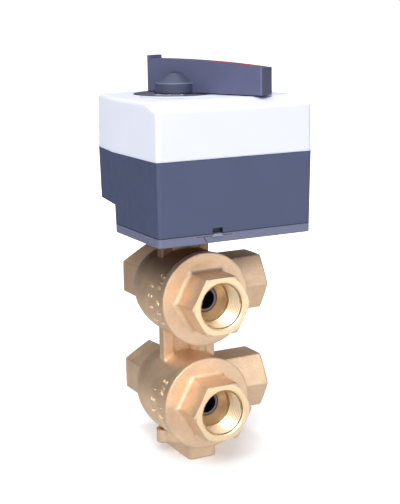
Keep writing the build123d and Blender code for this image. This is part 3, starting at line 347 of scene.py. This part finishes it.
def cast_brass(name, value, bright, rounding, end_piece=False):
    """Blasted casting with bright machined mouths and bores, and painted shade where it stands under the
    base.
    """
    finish = Finish(name, value, 0.85, 0.45, rounding)
    axes = finish.axes()
    off_level = port_distance(finish, axes)
    masks = []
    if end_piece:
        bore_end, mouth = -30.0 * MM, -53.85 * MM
        in_bore = finish.calc("LESS_THAN", radius_of(finish, axes["X"], off_level), MACHINED_RADIUS)
        masks.append(finish.calc("MULTIPLY", in_bore, finish.calc("LESS_THAN", axes["Y"], bore_end)))
        masks.append(finish.calc("LESS_THAN", axes["Y"], mouth))
    else:
        bore_end, foot_face, flange_face = 20.0 * MM, 0.05 * MM, 133.9 * MM
        for along, across, mouth in (("X", "Y", 50.75 * MM), ("Y", "X", 46.35 * MM)):
            in_bore = finish.calc("LESS_THAN", radius_of(finish, axes[across], off_level), MACHINED_RADIUS)
            in_port = finish.calc("GREATER_THAN", axes[along], bore_end)
            masks.append(finish.calc("MULTIPLY", in_bore, in_port))
            masks.append(finish.calc("GREATER_THAN", axes[along], mouth))
        masks.append(finish.calc("LESS_THAN", axes["Z"], foot_face))
        masks.append(finish.calc("GREATER_THAN", axes["Z"], flange_face))
    machined = masks[0]
    for mask in masks[1:]:
        machined = finish.calc("MAXIMUM", machined, mask)
    rough = finish.calc("SUBTRACT", 1.0, machined)
    rounded = finish.calc("ADD", finish.calc("MULTIPLY", rough, rounding), 0.08 * MM)
    finish.set(finish.edge.inputs["Radius"], rounded)
    tone = finish.span(finish.noise(0.014, 5), 0, 1)
    cast_tone = finish.blend(tone, tinted(value, 0.86), tinted(value, 1.08))
    grain = finish.span(finish.noise(0.0009, 3), 0, 0.5, start=0.45, end=0.75)
    cast_tone = finish.blend(grain, cast_tone, tinted(value, 0.78))
    speck = finish.span(finish.noise(0.0006, 2), 0, 0.2, start=0.55, end=0.75)
    cast_tone = finish.blend(speck, cast_tone, bright)
    # edges lightened, both as wear and as a painted highlight
    cast_tone = finish.blend(finish.calc("MULTIPLY", finish.edge_wear_and_highlight(0.75, 0.99), 0.3), cast_tone, bright)
    if not end_piece:
        # painted shade: darker towards the base plate above
        under_base_shade = finish.span(axes["Z"], 0, 0.8, start=0.108, end=0.1195)
        cast_tone = finish.blend(under_base_shade, cast_tone, (0.24 * value[0], 0.17 * value[1], 0.14 * value[2]))
    finish.paint(finish.blend(machined, cast_tone, bright))
    dull = finish.calc("MULTIPLY", finish.span(finish.noise(0.0011, 3), 0.42, 0.56), rough)
    finish.gloss(finish.calc("ADD", dull, finish.calc("MULTIPLY", machined, 0.36)))
    finish.bump(finish.calc("MULTIPLY", finish.noise(0.006, 3), rough), 0.0005)
    finish.bump(finish.calc("MULTIPLY", finish.noise(0.0009, 3), rough), 0.00016)
    return finish.done()


def turned_brass(name, value, rounding):
    """Machined brass, with painted shade in the roots of the threads."""
    finish = Finish(name, value, 0.85, 0.33, rounding)
    radius = port_radius(finish, finish.axes())
    rings = finish.noise(0.00035, 2, "1D", radius)
    tone = finish.span(finish.noise(0.01, 4), 0, 1)
    crest = finish.blend(tone, tinted(value, 0.93), tinted(value, 1.04))
    # painted shade: the roots of the threads are darkened
    root = finish.span(radius, 0, 0.8, start=12.5 * MM, end=13.05 * MM)
    finish.paint(finish.blend(root, crest, tinted(value, 0.25)))
    finish.gloss(finish.span(rings, 0.27, 0.4))
    return finish.done()


def port_sleeve(name, value, dark):
    """Plastic sleeve deep in a port: a pale rim, and painted shade in its bore and at its outer edge."""
    finish = Finish(name, value, 0.0, 0.38, 0.2 * MM)
    radius = port_radius(finish, finish.axes())
    rim = between(finish, radius, 5.92 * MM, 7.3 * MM)
    tone = finish.span(finish.noise(0.0015, 3), 0, 1)
    # painted shade: all but the rim takes the dark colour, in the bore and at the outer edge
    finish.paint(finish.blend(rim, dark, finish.blend(tone, tinted(value, 0.9), value)))
    finish.bump(finish.noise(0.0004, 2), 0.00001)
    return finish.done()


def printed(name, value):
    """Printing ink, slightly uneven."""
    finish = Finish(name, value, 0.0, 0.5, 0.02 * MM)
    finish.paint(finish.blend(finish.span(finish.noise(0.0006, 3), 0, 1), tinted(value, 0.88), value))
    return finish.done()


def studio_world():
    """White where the camera looks, and bluish light on the object.

    Reflections show a bright front and a dark back.
    """
    world = bpy.data.worlds.new("studio")
    world.use_nodes = True
    nodes, links = world.node_tree.nodes, world.node_tree.links
    nodes.clear()

    def ramp(source, start, end, low, high):
        made = nodes.new("ShaderNodeMapRange")
        for socket, value in zip(RANGE_SOCKETS, (start, end, low, high)):
            made.inputs[socket].default_value = value
        links.new(source, made.inputs["Value"])
        return made.outputs[0]

    def combine(operation, first, second):
        made = nodes.new("ShaderNodeMath")
        made.operation = operation
        links.new(first, made.inputs[0])
        links.new(second, made.inputs[1])
        return made.outputs[0]

    rays = nodes.new("ShaderNodeLightPath").outputs
    seen = combine("MAXIMUM", rays["Is Camera Ray"], rays["Is Transmission Ray"])
    direction = nodes.new("ShaderNodeSeparateXYZ")
    links.new(nodes.new("ShaderNodeTexCoord").outputs["Generated"], direction.inputs[0])
    across, along, up = direction.outputs
    lit = ramp(across, -0.8, 0.8, 0.5, 0.2)
    front = ramp(along, -0.7, 0.8, 1.35, 0.03)
    beside = ramp(across, 0.55, 0.95, 1.0, 0.2)
    above = ramp(up, 0.5, 0.9, 0.0, 1.0)
    mirrored = combine("MAXIMUM", combine("MULTIPLY", front, beside), above)
    shown = None
    for factor, tint, strength in (
        (None, (0.82, 0.88, 1.0, 1), lit),
        (rays["Is Glossy Ray"], (1, 1, 1, 1), mirrored),
        (seen, (1, 1, 1, 1), None),
    ):
        layer = nodes.new("ShaderNodeBackground")
        layer.inputs["Color"].default_value = tint
        if strength:
            links.new(strength, layer.inputs["Strength"])
        if shown:
            mix = nodes.new("ShaderNodeMixShader")
            for socket, source in zip(mix.inputs, (factor, shown, layer.outputs[0])):
                links.new(source, socket)
            shown = mix.outputs[0]
        else:
            shown = layer.outputs[0]
    links.new(shown, nodes.new("ShaderNodeOutputWorld").inputs[0])
    return world


class VALVE_OT_stage(bpy.types.Operator):
    """Builds the camera, the floor, the lamps and the pale surroundings"""

    bl_idname = "valve.stage"
    bl_label = "Stage"

    def execute(self, context):
        scene = context.scene
        turn, tilt, roll = radians(27.41), radians(12.0), radians(-0.88)
        back = Vector((-sin(turn) * cos(tilt), -cos(turn) * cos(tilt), sin(tilt)))
        level = (-back).cross(Vector((0, 0, 1))).normalized()
        upright = level.cross(-back)
        right = level * cos(roll) + upright * sin(roll)
        up = upright * cos(roll) - level * sin(roll)
        place = Matrix((right, up, back)).transposed().to_4x4()
        place.translation = (-0.3099, -0.6251, 0.2695)
        camera = bpy.data.objects.new("valve_camera", bpy.data.cameras.new("valve_camera"))
        camera.data.sensor_fit = "HORIZONTAL"
        camera.data.lens = 106.66
        camera.matrix_world = place
        scene.collection.objects.link(camera)
        scene.camera = camera

        mesh = bmesh.new()
        bmesh.ops.create_circle(mesh, cap_ends=True, segments=96, radius=6.0)
        bmesh.ops.translate(mesh, verts=mesh.verts, vec=(0, 0, -0.0002))
        floor = add_piece("floor", mesh, floor_finish(scene.valve_colours.floor))

        target = (0, 0, 0.11)
        for name, position, power, mirrored in (
            ("key_lamp", (-0.62, -0.94, 1.2), 16.8, True),
            ("fill_lamp", (1.2, -0.7, 0.45), 0.6, True),
            ("top_lamp", (0.0, 0.1, 1.5), 10.5, False),
            ("rear_lamp", (0.5, 1.2, 0.7), 3.0, False),
        ):
            lamp = bpy.data.lights.new(name, "AREA")
            lamp.size = 0.9
            lamp.energy = power
            holder = bpy.data.objects.new(name, lamp)
            holder.location = position
            holder.visible_glossy = mirrored
            holder.rotation_euler = (Vector(target) - Vector(position)).to_track_quat("-Z", "Y").to_euler()
            scene.collection.objects.link(holder)

        scene.world = studio_world()
        scene.view_settings.view_transform = "Standard"
        return {"FINISHED"}


def floor_finish(value):
    """Matt floor that adds white where it is seen, so that only the shadow shows.

    In reflections it is bright in front.
    """
    finish = Finish("floor_paper", value, 0.0, 0.9, 0.0001)
    finish.paint(finish.blend(finish.noise(0.2, 2), tinted(value, 0.985), value))
    nodes, links = finish.tree.nodes, finish.tree.links
    rays = finish.node("ShaderNodeLightPath").outputs
    axes = finish.axes()
    faded = finish.span(radius_of(finish, axes["X"], axes["Y"]), 0.3, 1.0, start=0.3, end=0.9)
    added = finish.calc("MULTIPLY", rays["Is Camera Ray"], faded)
    glow = finish.node("ShaderNodeEmission", {"Strength": added})
    both = finish.node("ShaderNodeAddShader")
    links.new(finish.surface.outputs[0], both.inputs[0])
    links.new(glow.outputs[0], both.inputs[1])
    front = finish.span(axes["Y"], 1.15, 0.2, start=-0.3, end=0.35)
    mirrored = finish.node("ShaderNodeEmission", {"Strength": front})
    shown = finish.node("ShaderNodeMixShader", {0: rays["Is Glossy Ray"]})
    links.new(both.outputs[0], shown.inputs[1])
    links.new(mirrored.outputs[0], shown.inputs[2])
    links.new(shown.outputs[0], nodes["Material Output"].inputs[0])
    return finish.done()


def add_piece(name, mesh, material, body=None):
    """Makes an object of the bmesh, and lets it ride on a body where one is named."""
    data = bpy.data.meshes.new(name)
    mesh.to_mesh(data)
    mesh.free()
    data.materials.append(material)
    piece = bpy.data.objects.new(name, data)
    bpy.context.scene.collection.objects.link(piece)
    if body:
        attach(piece, body)
    return piece


def append(whole, part):
    """Adds one bmesh to another and frees it."""
    data = bpy.data.meshes.new("part")
    part.to_mesh(data)
    part.free()
    whole.from_mesh(data)
    bpy.data.meshes.remove(data)


def flat_text(words, size, depth):
    """Characters lying in the XY plane, with their lower face at Z = 0."""
    curve = bpy.data.curves.new("characters", "FONT")
    curve.body = words
    curve.size = size
    curve.extrude = depth / 2
    curve.resolution_u = 3
    curve.space_character = 1.25
    curve.align_x = "CENTER"
    curve.align_y = "CENTER"
    holder = bpy.data.objects.new("characters", curve)
    bpy.context.scene.collection.objects.link(holder)
    bpy.context.view_layer.update()
    data = bpy.data.meshes.new_from_object(holder.evaluated_get(bpy.context.evaluated_depsgraph_get()))
    mesh = bmesh.new()
    mesh.from_mesh(data)
    bmesh.ops.remove_doubles(mesh, verts=mesh.verts, dist=0.001 * MM)
    bmesh.ops.translate(mesh, vec=(0, 0, depth / 2), verts=mesh.verts)
    bpy.data.objects.remove(holder)
    bpy.data.curves.remove(curve)
    bpy.data.meshes.remove(data)
    return mesh


def ring_piece(inner, outer, bottom, top, start, sweep, steps):
    """Part of a flat ring around Z."""
    mesh = bmesh.new()
    corners = ((inner, 0, bottom), (outer, 0, bottom), (outer, 0, top), (inner, 0, top))
    section = mesh.faces.new([mesh.verts.new(corner) for corner in corners])
    bmesh.ops.spin(
        mesh, geom=[section], cent=(0, 0, 0), axis=(0, 0, 1), angle=sweep, steps=steps, use_merge=False
    )
    bmesh.ops.rotate(mesh, matrix=Matrix.Rotation(start, 3, "Z"), verts=mesh.verts)
    bmesh.ops.recalc_face_normals(mesh, faces=mesh.faces)
    return mesh


def front_plate(outline, rise, top):
    """Plate on the front of the base. The outline is in mm: X, and the depth below the top of the strip."""
    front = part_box("base_plate")[0].y
    mesh = bmesh.new()
    face = mesh.faces.new([mesh.verts.new((x * MM, 0, top - down * MM)) for x, down in outline])
    grown = bmesh.ops.extrude_face_region(mesh, geom=[face])["geom"]
    raised = [item for item in grown if isinstance(item, bmesh.types.BMVert)]
    bmesh.ops.translate(mesh, vec=(0, -rise * MM, 0), verts=raised)
    bmesh.ops.translate(mesh, vec=(0, front + 0.1 * MM, 0), verts=mesh.verts)
    bmesh.ops.recalc_face_normals(mesh, faces=mesh.faces)
    return mesh


class VALVE_OT_finishes(bpy.types.Operator):
    """Gives every CAD node its material"""

    bl_idname = "valve.finishes"
    bl_label = "Finishes"

    def execute(self, context):
        colours, sizes = context.scene.valve_colours, context.scene.valve_sizes
        cast = cast_brass("cast_brass", colours.brass, colours.brass_turned, sizes.cast_round)
        ends = cast_brass("end_brass", colours.brass, colours.brass_turned, sizes.cast_round, end_piece=True)
        turned_brass("turned_brass", colours.brass_turned, 0.05 * MM)
        cast_brass("numeral_brass", tinted(colours.brass, 1.2), colours.brass_turned, 0)
        chrome = plain_metal("chrome_plate", shade(228, 230, 234), 0.12, depth=0.001)
        steel = plain_metal("steel", shade(196, 198, 202), 0.3)
        motor = plain_metal("motor_steel", shade(168, 170, 174), 0.36)
        seat = moulded_plastic("seat_plastic", shade(70, 68, 78), 0.4, depth=0.008, rounding=0.2)
        # the sleeve's dark colour is painted shade in its bore and at its outer edge
        sleeve = port_sleeve("sleeve_plastic", shade(172, 166, 192), shade(30, 28, 34))
        rubber = moulded_plastic("seal_rubber", shade(42, 42, 44), 0.62, rounding=0.1)
        bracket = moulded_plastic("bracket_plastic", shade(82, 84, 98), 0.5)
        low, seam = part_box("housing")[0].z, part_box("housing")[1].z
        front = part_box("base_plate")[0].y
        # painted shade: the catch's nose seen through the window in the housing, and the walls of that
        # window, are painted dark
        shaded_catch_hole = ((-10.4 * MM, -3.2 * MM), (low + 0.1 * MM, low + 4.0 * MM), (-1.0, front + 6.0 * MM))
        shaded_hole_walls = ((-10.05 * MM, -3.55 * MM), (low - 1.0 * MM, low + 3.05 * MM), (front + 0.5 * MM, 0.0))
        base = case_plastic(
            "base_plastic", colours.base, 0.42, colours.gap, ((low - 0.2 * MM, low),), 0.4, shaded_catch_hole
        )
        dark = case_plastic(
            "case_plastic", colours.case_dark, 0.4, tinted(colours.case_dark, 0.35),
            ((low, low + 0.4 * MM), (seam - 0.3 * MM, seam)), 0.6, shaded_hole_walls,
        )
        white = case_plastic(
            "cover_plastic", colours.case_white, 0.36, colours.case_white, (), 1.6, depth=0.012, spread=0.01
        )
        lever = lever_plastic("lever_plastic", colours.lever, 0.7)
        inlay = moulded_plastic("inlay_plastic", colours.inlay, 0.35, rounding=0.2)
        dial = dial_plastic("dial_plastic", colours.dial, colours.gap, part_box("dial")[1].x)
        gear = moulded_plastic("gear_plastic", shade(226, 223, 210), 0.4, rounding=0.1)
        bush = moulded_plastic("bush_plastic", shade(206, 202, 188), 0.4, rounding=0.2)
        board = moulded_plastic(
            "board_laminate", shade(46, 118, 74), 0.3, grain=0.8, spread=0.15, rounding=0.1
        )
        black = moulded_plastic("component_plastic", shade(48, 48, 52), 0.5, rounding=0.2)
        grey = moulded_plastic("terminal_plastic", shade(176, 178, 184), 0.45, rounding=0.2)
        by_node = {
            cast: ("valve_body",),
            ends: ("upper_end_piece", "lower_end_piece"),
            chrome: ("upper_ball", "lower_ball"),
            steel: (
                "stem", "link_shaft", "mounting_screws", "gear_clip", "gear_pin", "plate_posts",
                "board_posts", "plate_screws", "motor_screws", "board_screws", "gear_plate",
            ),
            motor: ("motor", "motor_pinion"),
            seat: (
                "lower_front_seat", "lower_side_seat", "lower_rear_seat",
                "upper_front_seat", "upper_side_seat", "upper_rear_seat", "thrust_washer",
            ),
            rubber: ("upper_end_gasket", "lower_end_gasket", "stem_seals", "link_seals", "cable_grommets"),
            sleeve: ("port_inserts",),
            bracket: ("adapter",),
            base: ("base_plate",),
            dark: ("housing",),
            white: ("top_cover",),
            lever: ("lever",),
            inlay: ("lever_inlay",),
            dial: ("dial",),
            gear: ("output_gear", "intermediate_gear", "output_sleeve", "switch_cam"),
            bush: ("base_bush", "cover_bush"),
            board: ("circuit_board",),
            black: ("limit_switches", "board_parts"),
            grey: ("terminal_block",),
        }
        left = set(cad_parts)
        for material, names in by_node.items():
            for name in names:
                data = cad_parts[name].data
                data.materials.clear()
                data.materials.append(material)
                left.discard(name)
        if left:
            raise RuntimeError(f"nodes without a finish: {sorted(left)}")
        return {"FINISHED"}


class VALVE_OT_castings(bpy.types.Operator):
    """Opens the ports to the full width of their threads and leaves the hexagons their corners"""

    bl_idname = "valve.castings"
    bl_label = "Castings"

    def execute(self, context):
        sizes = context.scene.valve_sizes
        for node, name, slot in (
            ("valve_body", "cast_body", "brass_cast"),
            ("upper_end_piece", "upper_end", "brass_turned"),
            ("lower_end_piece", "lower_end", "brass_turned"),
        ):
            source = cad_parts[node].data
            mesh = bmesh.new()
            mesh.from_mesh(source)
            bmesh.ops.remove_doubles(mesh, verts=mesh.verts, dist=0.002 * MM)
            for vert in mesh.verts:
                if node == "valve_body":
                    self.shape_port(vert.co, 0, 1, sizes, sizes.side_mouth)
                    self.shape_port(vert.co, 1, 0, sizes, sizes.rear_mouth)
                    self.trim_flange(vert.co)
                else:
                    self.shape_port(vert.co, 1, 0, sizes, -sizes.front_mouth)
                    self.widen_disc(vert.co)
            for face in mesh.faces:
                face.smooth = True
            for edge in mesh.edges:
                edge.smooth = edge.calc_face_angle(0) < radians(22)
            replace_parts(add_piece(name, mesh, source.materials[0], "valve"), node)
        return {"FINISHED"}

    def shape_port(self, place, along, across, sizes, mouth):
        """Moves a point of a port. The mouth is its place on the port's axis, negative at the front."""
        level = min(PORT_LEVELS, key=lambda height: abs(height - place.z))
        depth = abs(mouth) - place[along] * (1 if mouth > 0 else -1)
        if not -0.1 * MM < depth < THREAD_DEPTH + 0.1 * MM:
            return
        radius = (place[across] ** 2 + (place.z - level) ** 2) ** 0.5
        wider, deeper = radius, depth
        if abs(radius - CAD_BORE) < 0.05 * MM:
            wider = sizes.thread_radius
            stretch = (THREAD_DEPTH - sizes.mouth_chamfer) / (THREAD_DEPTH - CAD_CHAMFER)
            deeper = sizes.mouth_chamfer + (depth - CAD_CHAMFER) * stretch
        elif radius > 16.25 * MM and depth < 1.7 * MM:
            deeper = depth * 0.25
        place[across] *= wider / radius
        place.z = level + (place.z - level) * wider / radius
        place[along] += (depth - deeper) * (1 if mouth > 0 else -1)

    def widen_disc(self, place):
        """Moves a point of a disc's rim outwards."""
        level = min(PORT_LEVELS, key=lambda height: abs(height - place.z))
        radius = (place.x**2 + (place.z - level) ** 2) ** 0.5
        growth = 1.018
        if radius > 26.9 * MM:
            place.x *= growth
            place.z = level + (place.z - level) * growth

    def trim_flange(self, place):
        """Gives the top flange a smaller outline and a sloping underside."""
        underside = 129.0 * MM
        if place.z > underside - 0.1 * MM and max(abs(place.x), abs(place.y)) > 19.4 * MM:
            place.x *= 0.93
            place.y *= 0.93
            if place.z < underside + 0.1 * MM:
                place.z += 1.6 * MM


class VALVE_OT_threads(bpy.types.Operator):
    """Winds a pipe thread into the mouth of every port"""

    bl_idname = "valve.threads"
    bl_label = "Port threads"

    def execute(self, context):
        sizes = context.scene.valve_sizes
        turned = bpy.data.materials["turned_brass"]
        for level, row in zip(PORT_LEVELS, ("lower", "upper")):
            for port, mouth, turn in (
                ("front", Vector((0, -sizes.front_mouth, level)), Matrix.Rotation(-pi / 2, 4, "X")),
                ("side", Vector((sizes.side_mouth, 0, level)), Matrix.Rotation(-pi / 2, 4, "Y")),
                ("rear", Vector((0, sizes.rear_mouth, level)), Matrix.Rotation(pi / 2, 4, "X")),
            ):
                mesh = self.thread(sizes)
                bmesh.ops.transform(mesh, matrix=Matrix.Translation(mouth) @ turn, verts=mesh.verts)
                add_piece(f"{row}_{port}_thread", mesh, turned, "valve")
        return {"FINISHED"}

    def thread(self, sizes):
        """A helical ridge along Z, from the mouth inwards."""
        steps = 48
        root = sizes.thread_radius + 0.15 * MM
        crest = sizes.thread_radius - sizes.thread_height
        start, pitch = sizes.thread_start, sizes.thread_pitch
        mesh = bmesh.new()
        corners = ((root, 0, start), (crest, 0, start + pitch / 2), (root, 0, start + pitch))
        profile = mesh.faces.new([mesh.verts.new(corner) for corner in corners])
        bmesh.ops.spin(
            mesh, geom=[profile], cent=(0, 0, 0), axis=(0, 0, 1), dvec=(0, 0, pitch / steps),
            angle=2 * pi * sizes.thread_turns, steps=steps * sizes.thread_turns, use_merge=False,
        )
        bmesh.ops.recalc_face_normals(mesh, faces=mesh.faces)
        return mesh


class VALVE_OT_numerals(bpy.types.Operator):
    """Raises plain numerals on the left of both cast bodies, in two columns"""

    bl_idname = "valve.numerals"
    bl_label = "Cast numerals"

    def execute(self, context):
        sizes = context.scene.valve_sizes
        brass = bpy.data.materials["numeral_brass"]
        radius, sunk = sizes.barrel_radius, 0.3 * MM
        for level, row, ports in zip(PORT_LEVELS, ("lower", "upper"), ("1 2 3", "4 5 6")):
            for column, along, words, middle in (
                ("front", -24.5 * MM, "3/4  " + ports, radians(1)),
                ("rear", -15.0 * MM, ports + "  3", radians(-7)),
            ):
                mesh = flat_text(words, sizes.character_size, sizes.character_rise + sunk)
                for vert in mesh.verts:
                    reading, height, depth = vert.co
                    turn = middle - reading / radius
                    reach = radius - sunk + depth
                    vert.co = (-reach * cos(turn), along - height, level + reach * sin(turn))
                bmesh.ops.recalc_face_normals(mesh, faces=mesh.faces)
                add_piece(f"{row}_{column}_numerals", mesh, brass, "valve")
        return {"FINISHED"}


class VALVE_OT_dial_marks(bpy.types.Operator):
    """Prints the scale on the dial and the guide line on the cover"""

    bl_idname = "valve.dial_marks"
    bl_label = "Dial marks"

    def execute(self, context):
        colours, sizes = context.scene.valve_colours, context.scene.valve_sizes
        ink = printed("dial_ink", colours.print)
        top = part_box("dial")[1].z
        marks = bmesh.new()
        inner, outer = sizes.dial_marks, sizes.dial_marks + sizes.mark_length
        for first, step in ((first, step) for first in (-155, -25) for step in range(11)):
            wide = step % 5 == 0
            half = sizes.mark_width * (0.9 if wide else 0.5)
            start = inner if wide else inner + 0.25 * sizes.mark_length
            mark = bmesh.new()
            bmesh.ops.create_cube(mark, size=1)
            bmesh.ops.scale(mark, vec=(outer - start, 2 * half, 0.04 * MM), verts=mark.verts)
            bmesh.ops.translate(mark, vec=((outer + start) / 2, 0, 0), verts=mark.verts)
            turn = Matrix.Rotation(radians(first + 5 * step), 3, "Z")
            bmesh.ops.rotate(mark, matrix=turn, verts=mark.verts)
            append(marks, mark)
        bmesh.ops.translate(marks, vec=(0, 0, top + 0.01 * MM), verts=marks.verts)
        add_piece("dial_scale", marks, ink, "valve")
        line = printed("cover_ink", colours.dial)
        arc = ring_piece(26.4 * MM, 26.85 * MM, 0, 0.03 * MM, radians(170), radians(72), 36)
        bmesh.ops.translate(arc, vec=(-1.47 * MM, -14.52 * MM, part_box("top_cover")[1].z), verts=arc.verts)
        add_piece("cover_line", arc, line, "valve")
        return {"FINISHED"}


class VALVE_OT_strip(bpy.types.Operator):
    """Adds the tongue, dark strips for the narrow gaps, and painted shade for the groove on the front of the
    base
    """

    bl_idname = "valve.strip"
    bl_label = "Strip on the base"

    def execute(self, context):
        colours = context.scene.valve_colours
        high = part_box("housing")[0].z
        base = bpy.data.materials["base_plastic"]
        shadow = moulded_plastic("strip_gap_and_groove_shade", colours.gap, 0.6, rounding=0.05)
        tongue = front_plate(((-10.4, 1.5), (-8.9, 0.1), (-4.9, 0.1), (-3.9, 1.5)), 0.8, high)
        add_piece("strip_tongue", tongue, base, "valve")
        gaps = bmesh.new()
        for outline in (
            ((-20.0, 1.25), (-20.0, 1.0), (-10.4, 1.0), (-10.4, 1.25)),
            ((-3.9, 1.25), (-3.9, 1.0), (2.4, 1.0), (2.4, 1.25)),
            # the slanted groove: a dark strip as painted shade
            ((-15.7, 1.25), (-15.2, 1.25), (-13.4, 4.4), (-13.9, 4.4)),
        ):
            append(gaps, front_plate(outline, 0.1, high))
        add_piece("strip_gaps_and_groove_shade", gaps, shadow, "valve")
        return {"FINISHED"}


class VALVE_PT_panel(bpy.types.Panel):
    """Lists the sizes, the colours and the steps"""

    bl_label = "Valve"
    bl_idname = "VALVE_PT_panel"
    bl_space_type = "VIEW_3D"
    bl_region_type = "UI"
    bl_category = "Valve"

    def draw(self, context):
        for group in (context.scene.valve_sizes, context.scene.valve_colours):
            column = self.layout.column(align=True)
            for name in group.bl_rna.properties.keys():
                if name not in ("rna_type", "name"):
                    column.prop(group, name)
        for step in STEPS:
            self.layout.operator(step.bl_idname)


STEPS = (
    VALVE_OT_stage, VALVE_OT_finishes, VALVE_OT_castings, VALVE_OT_threads, VALVE_OT_numerals,
    VALVE_OT_dial_marks, VALVE_OT_strip,
)
CLASSES = (ValveColours, ValveSizes, *STEPS, VALVE_PT_panel)


def register():
    for item in CLASSES:
        bpy.utils.register_class(item)
    bpy.types.Scene.valve_colours = bpy.props.PointerProperty(type=ValveColours)
    bpy.types.Scene.valve_sizes = bpy.props.PointerProperty(type=ValveSizes)


def unregister():
    del bpy.types.Scene.valve_colours
    del bpy.types.Scene.valve_sizes
    for item in reversed(CLASSES):
        bpy.utils.unregister_class(item)


def main():
    register()
    for step in STEPS:
        getattr(bpy.ops.valve, step.bl_idname.split(".")[1])()


if __name__ == "__main__":
    main()
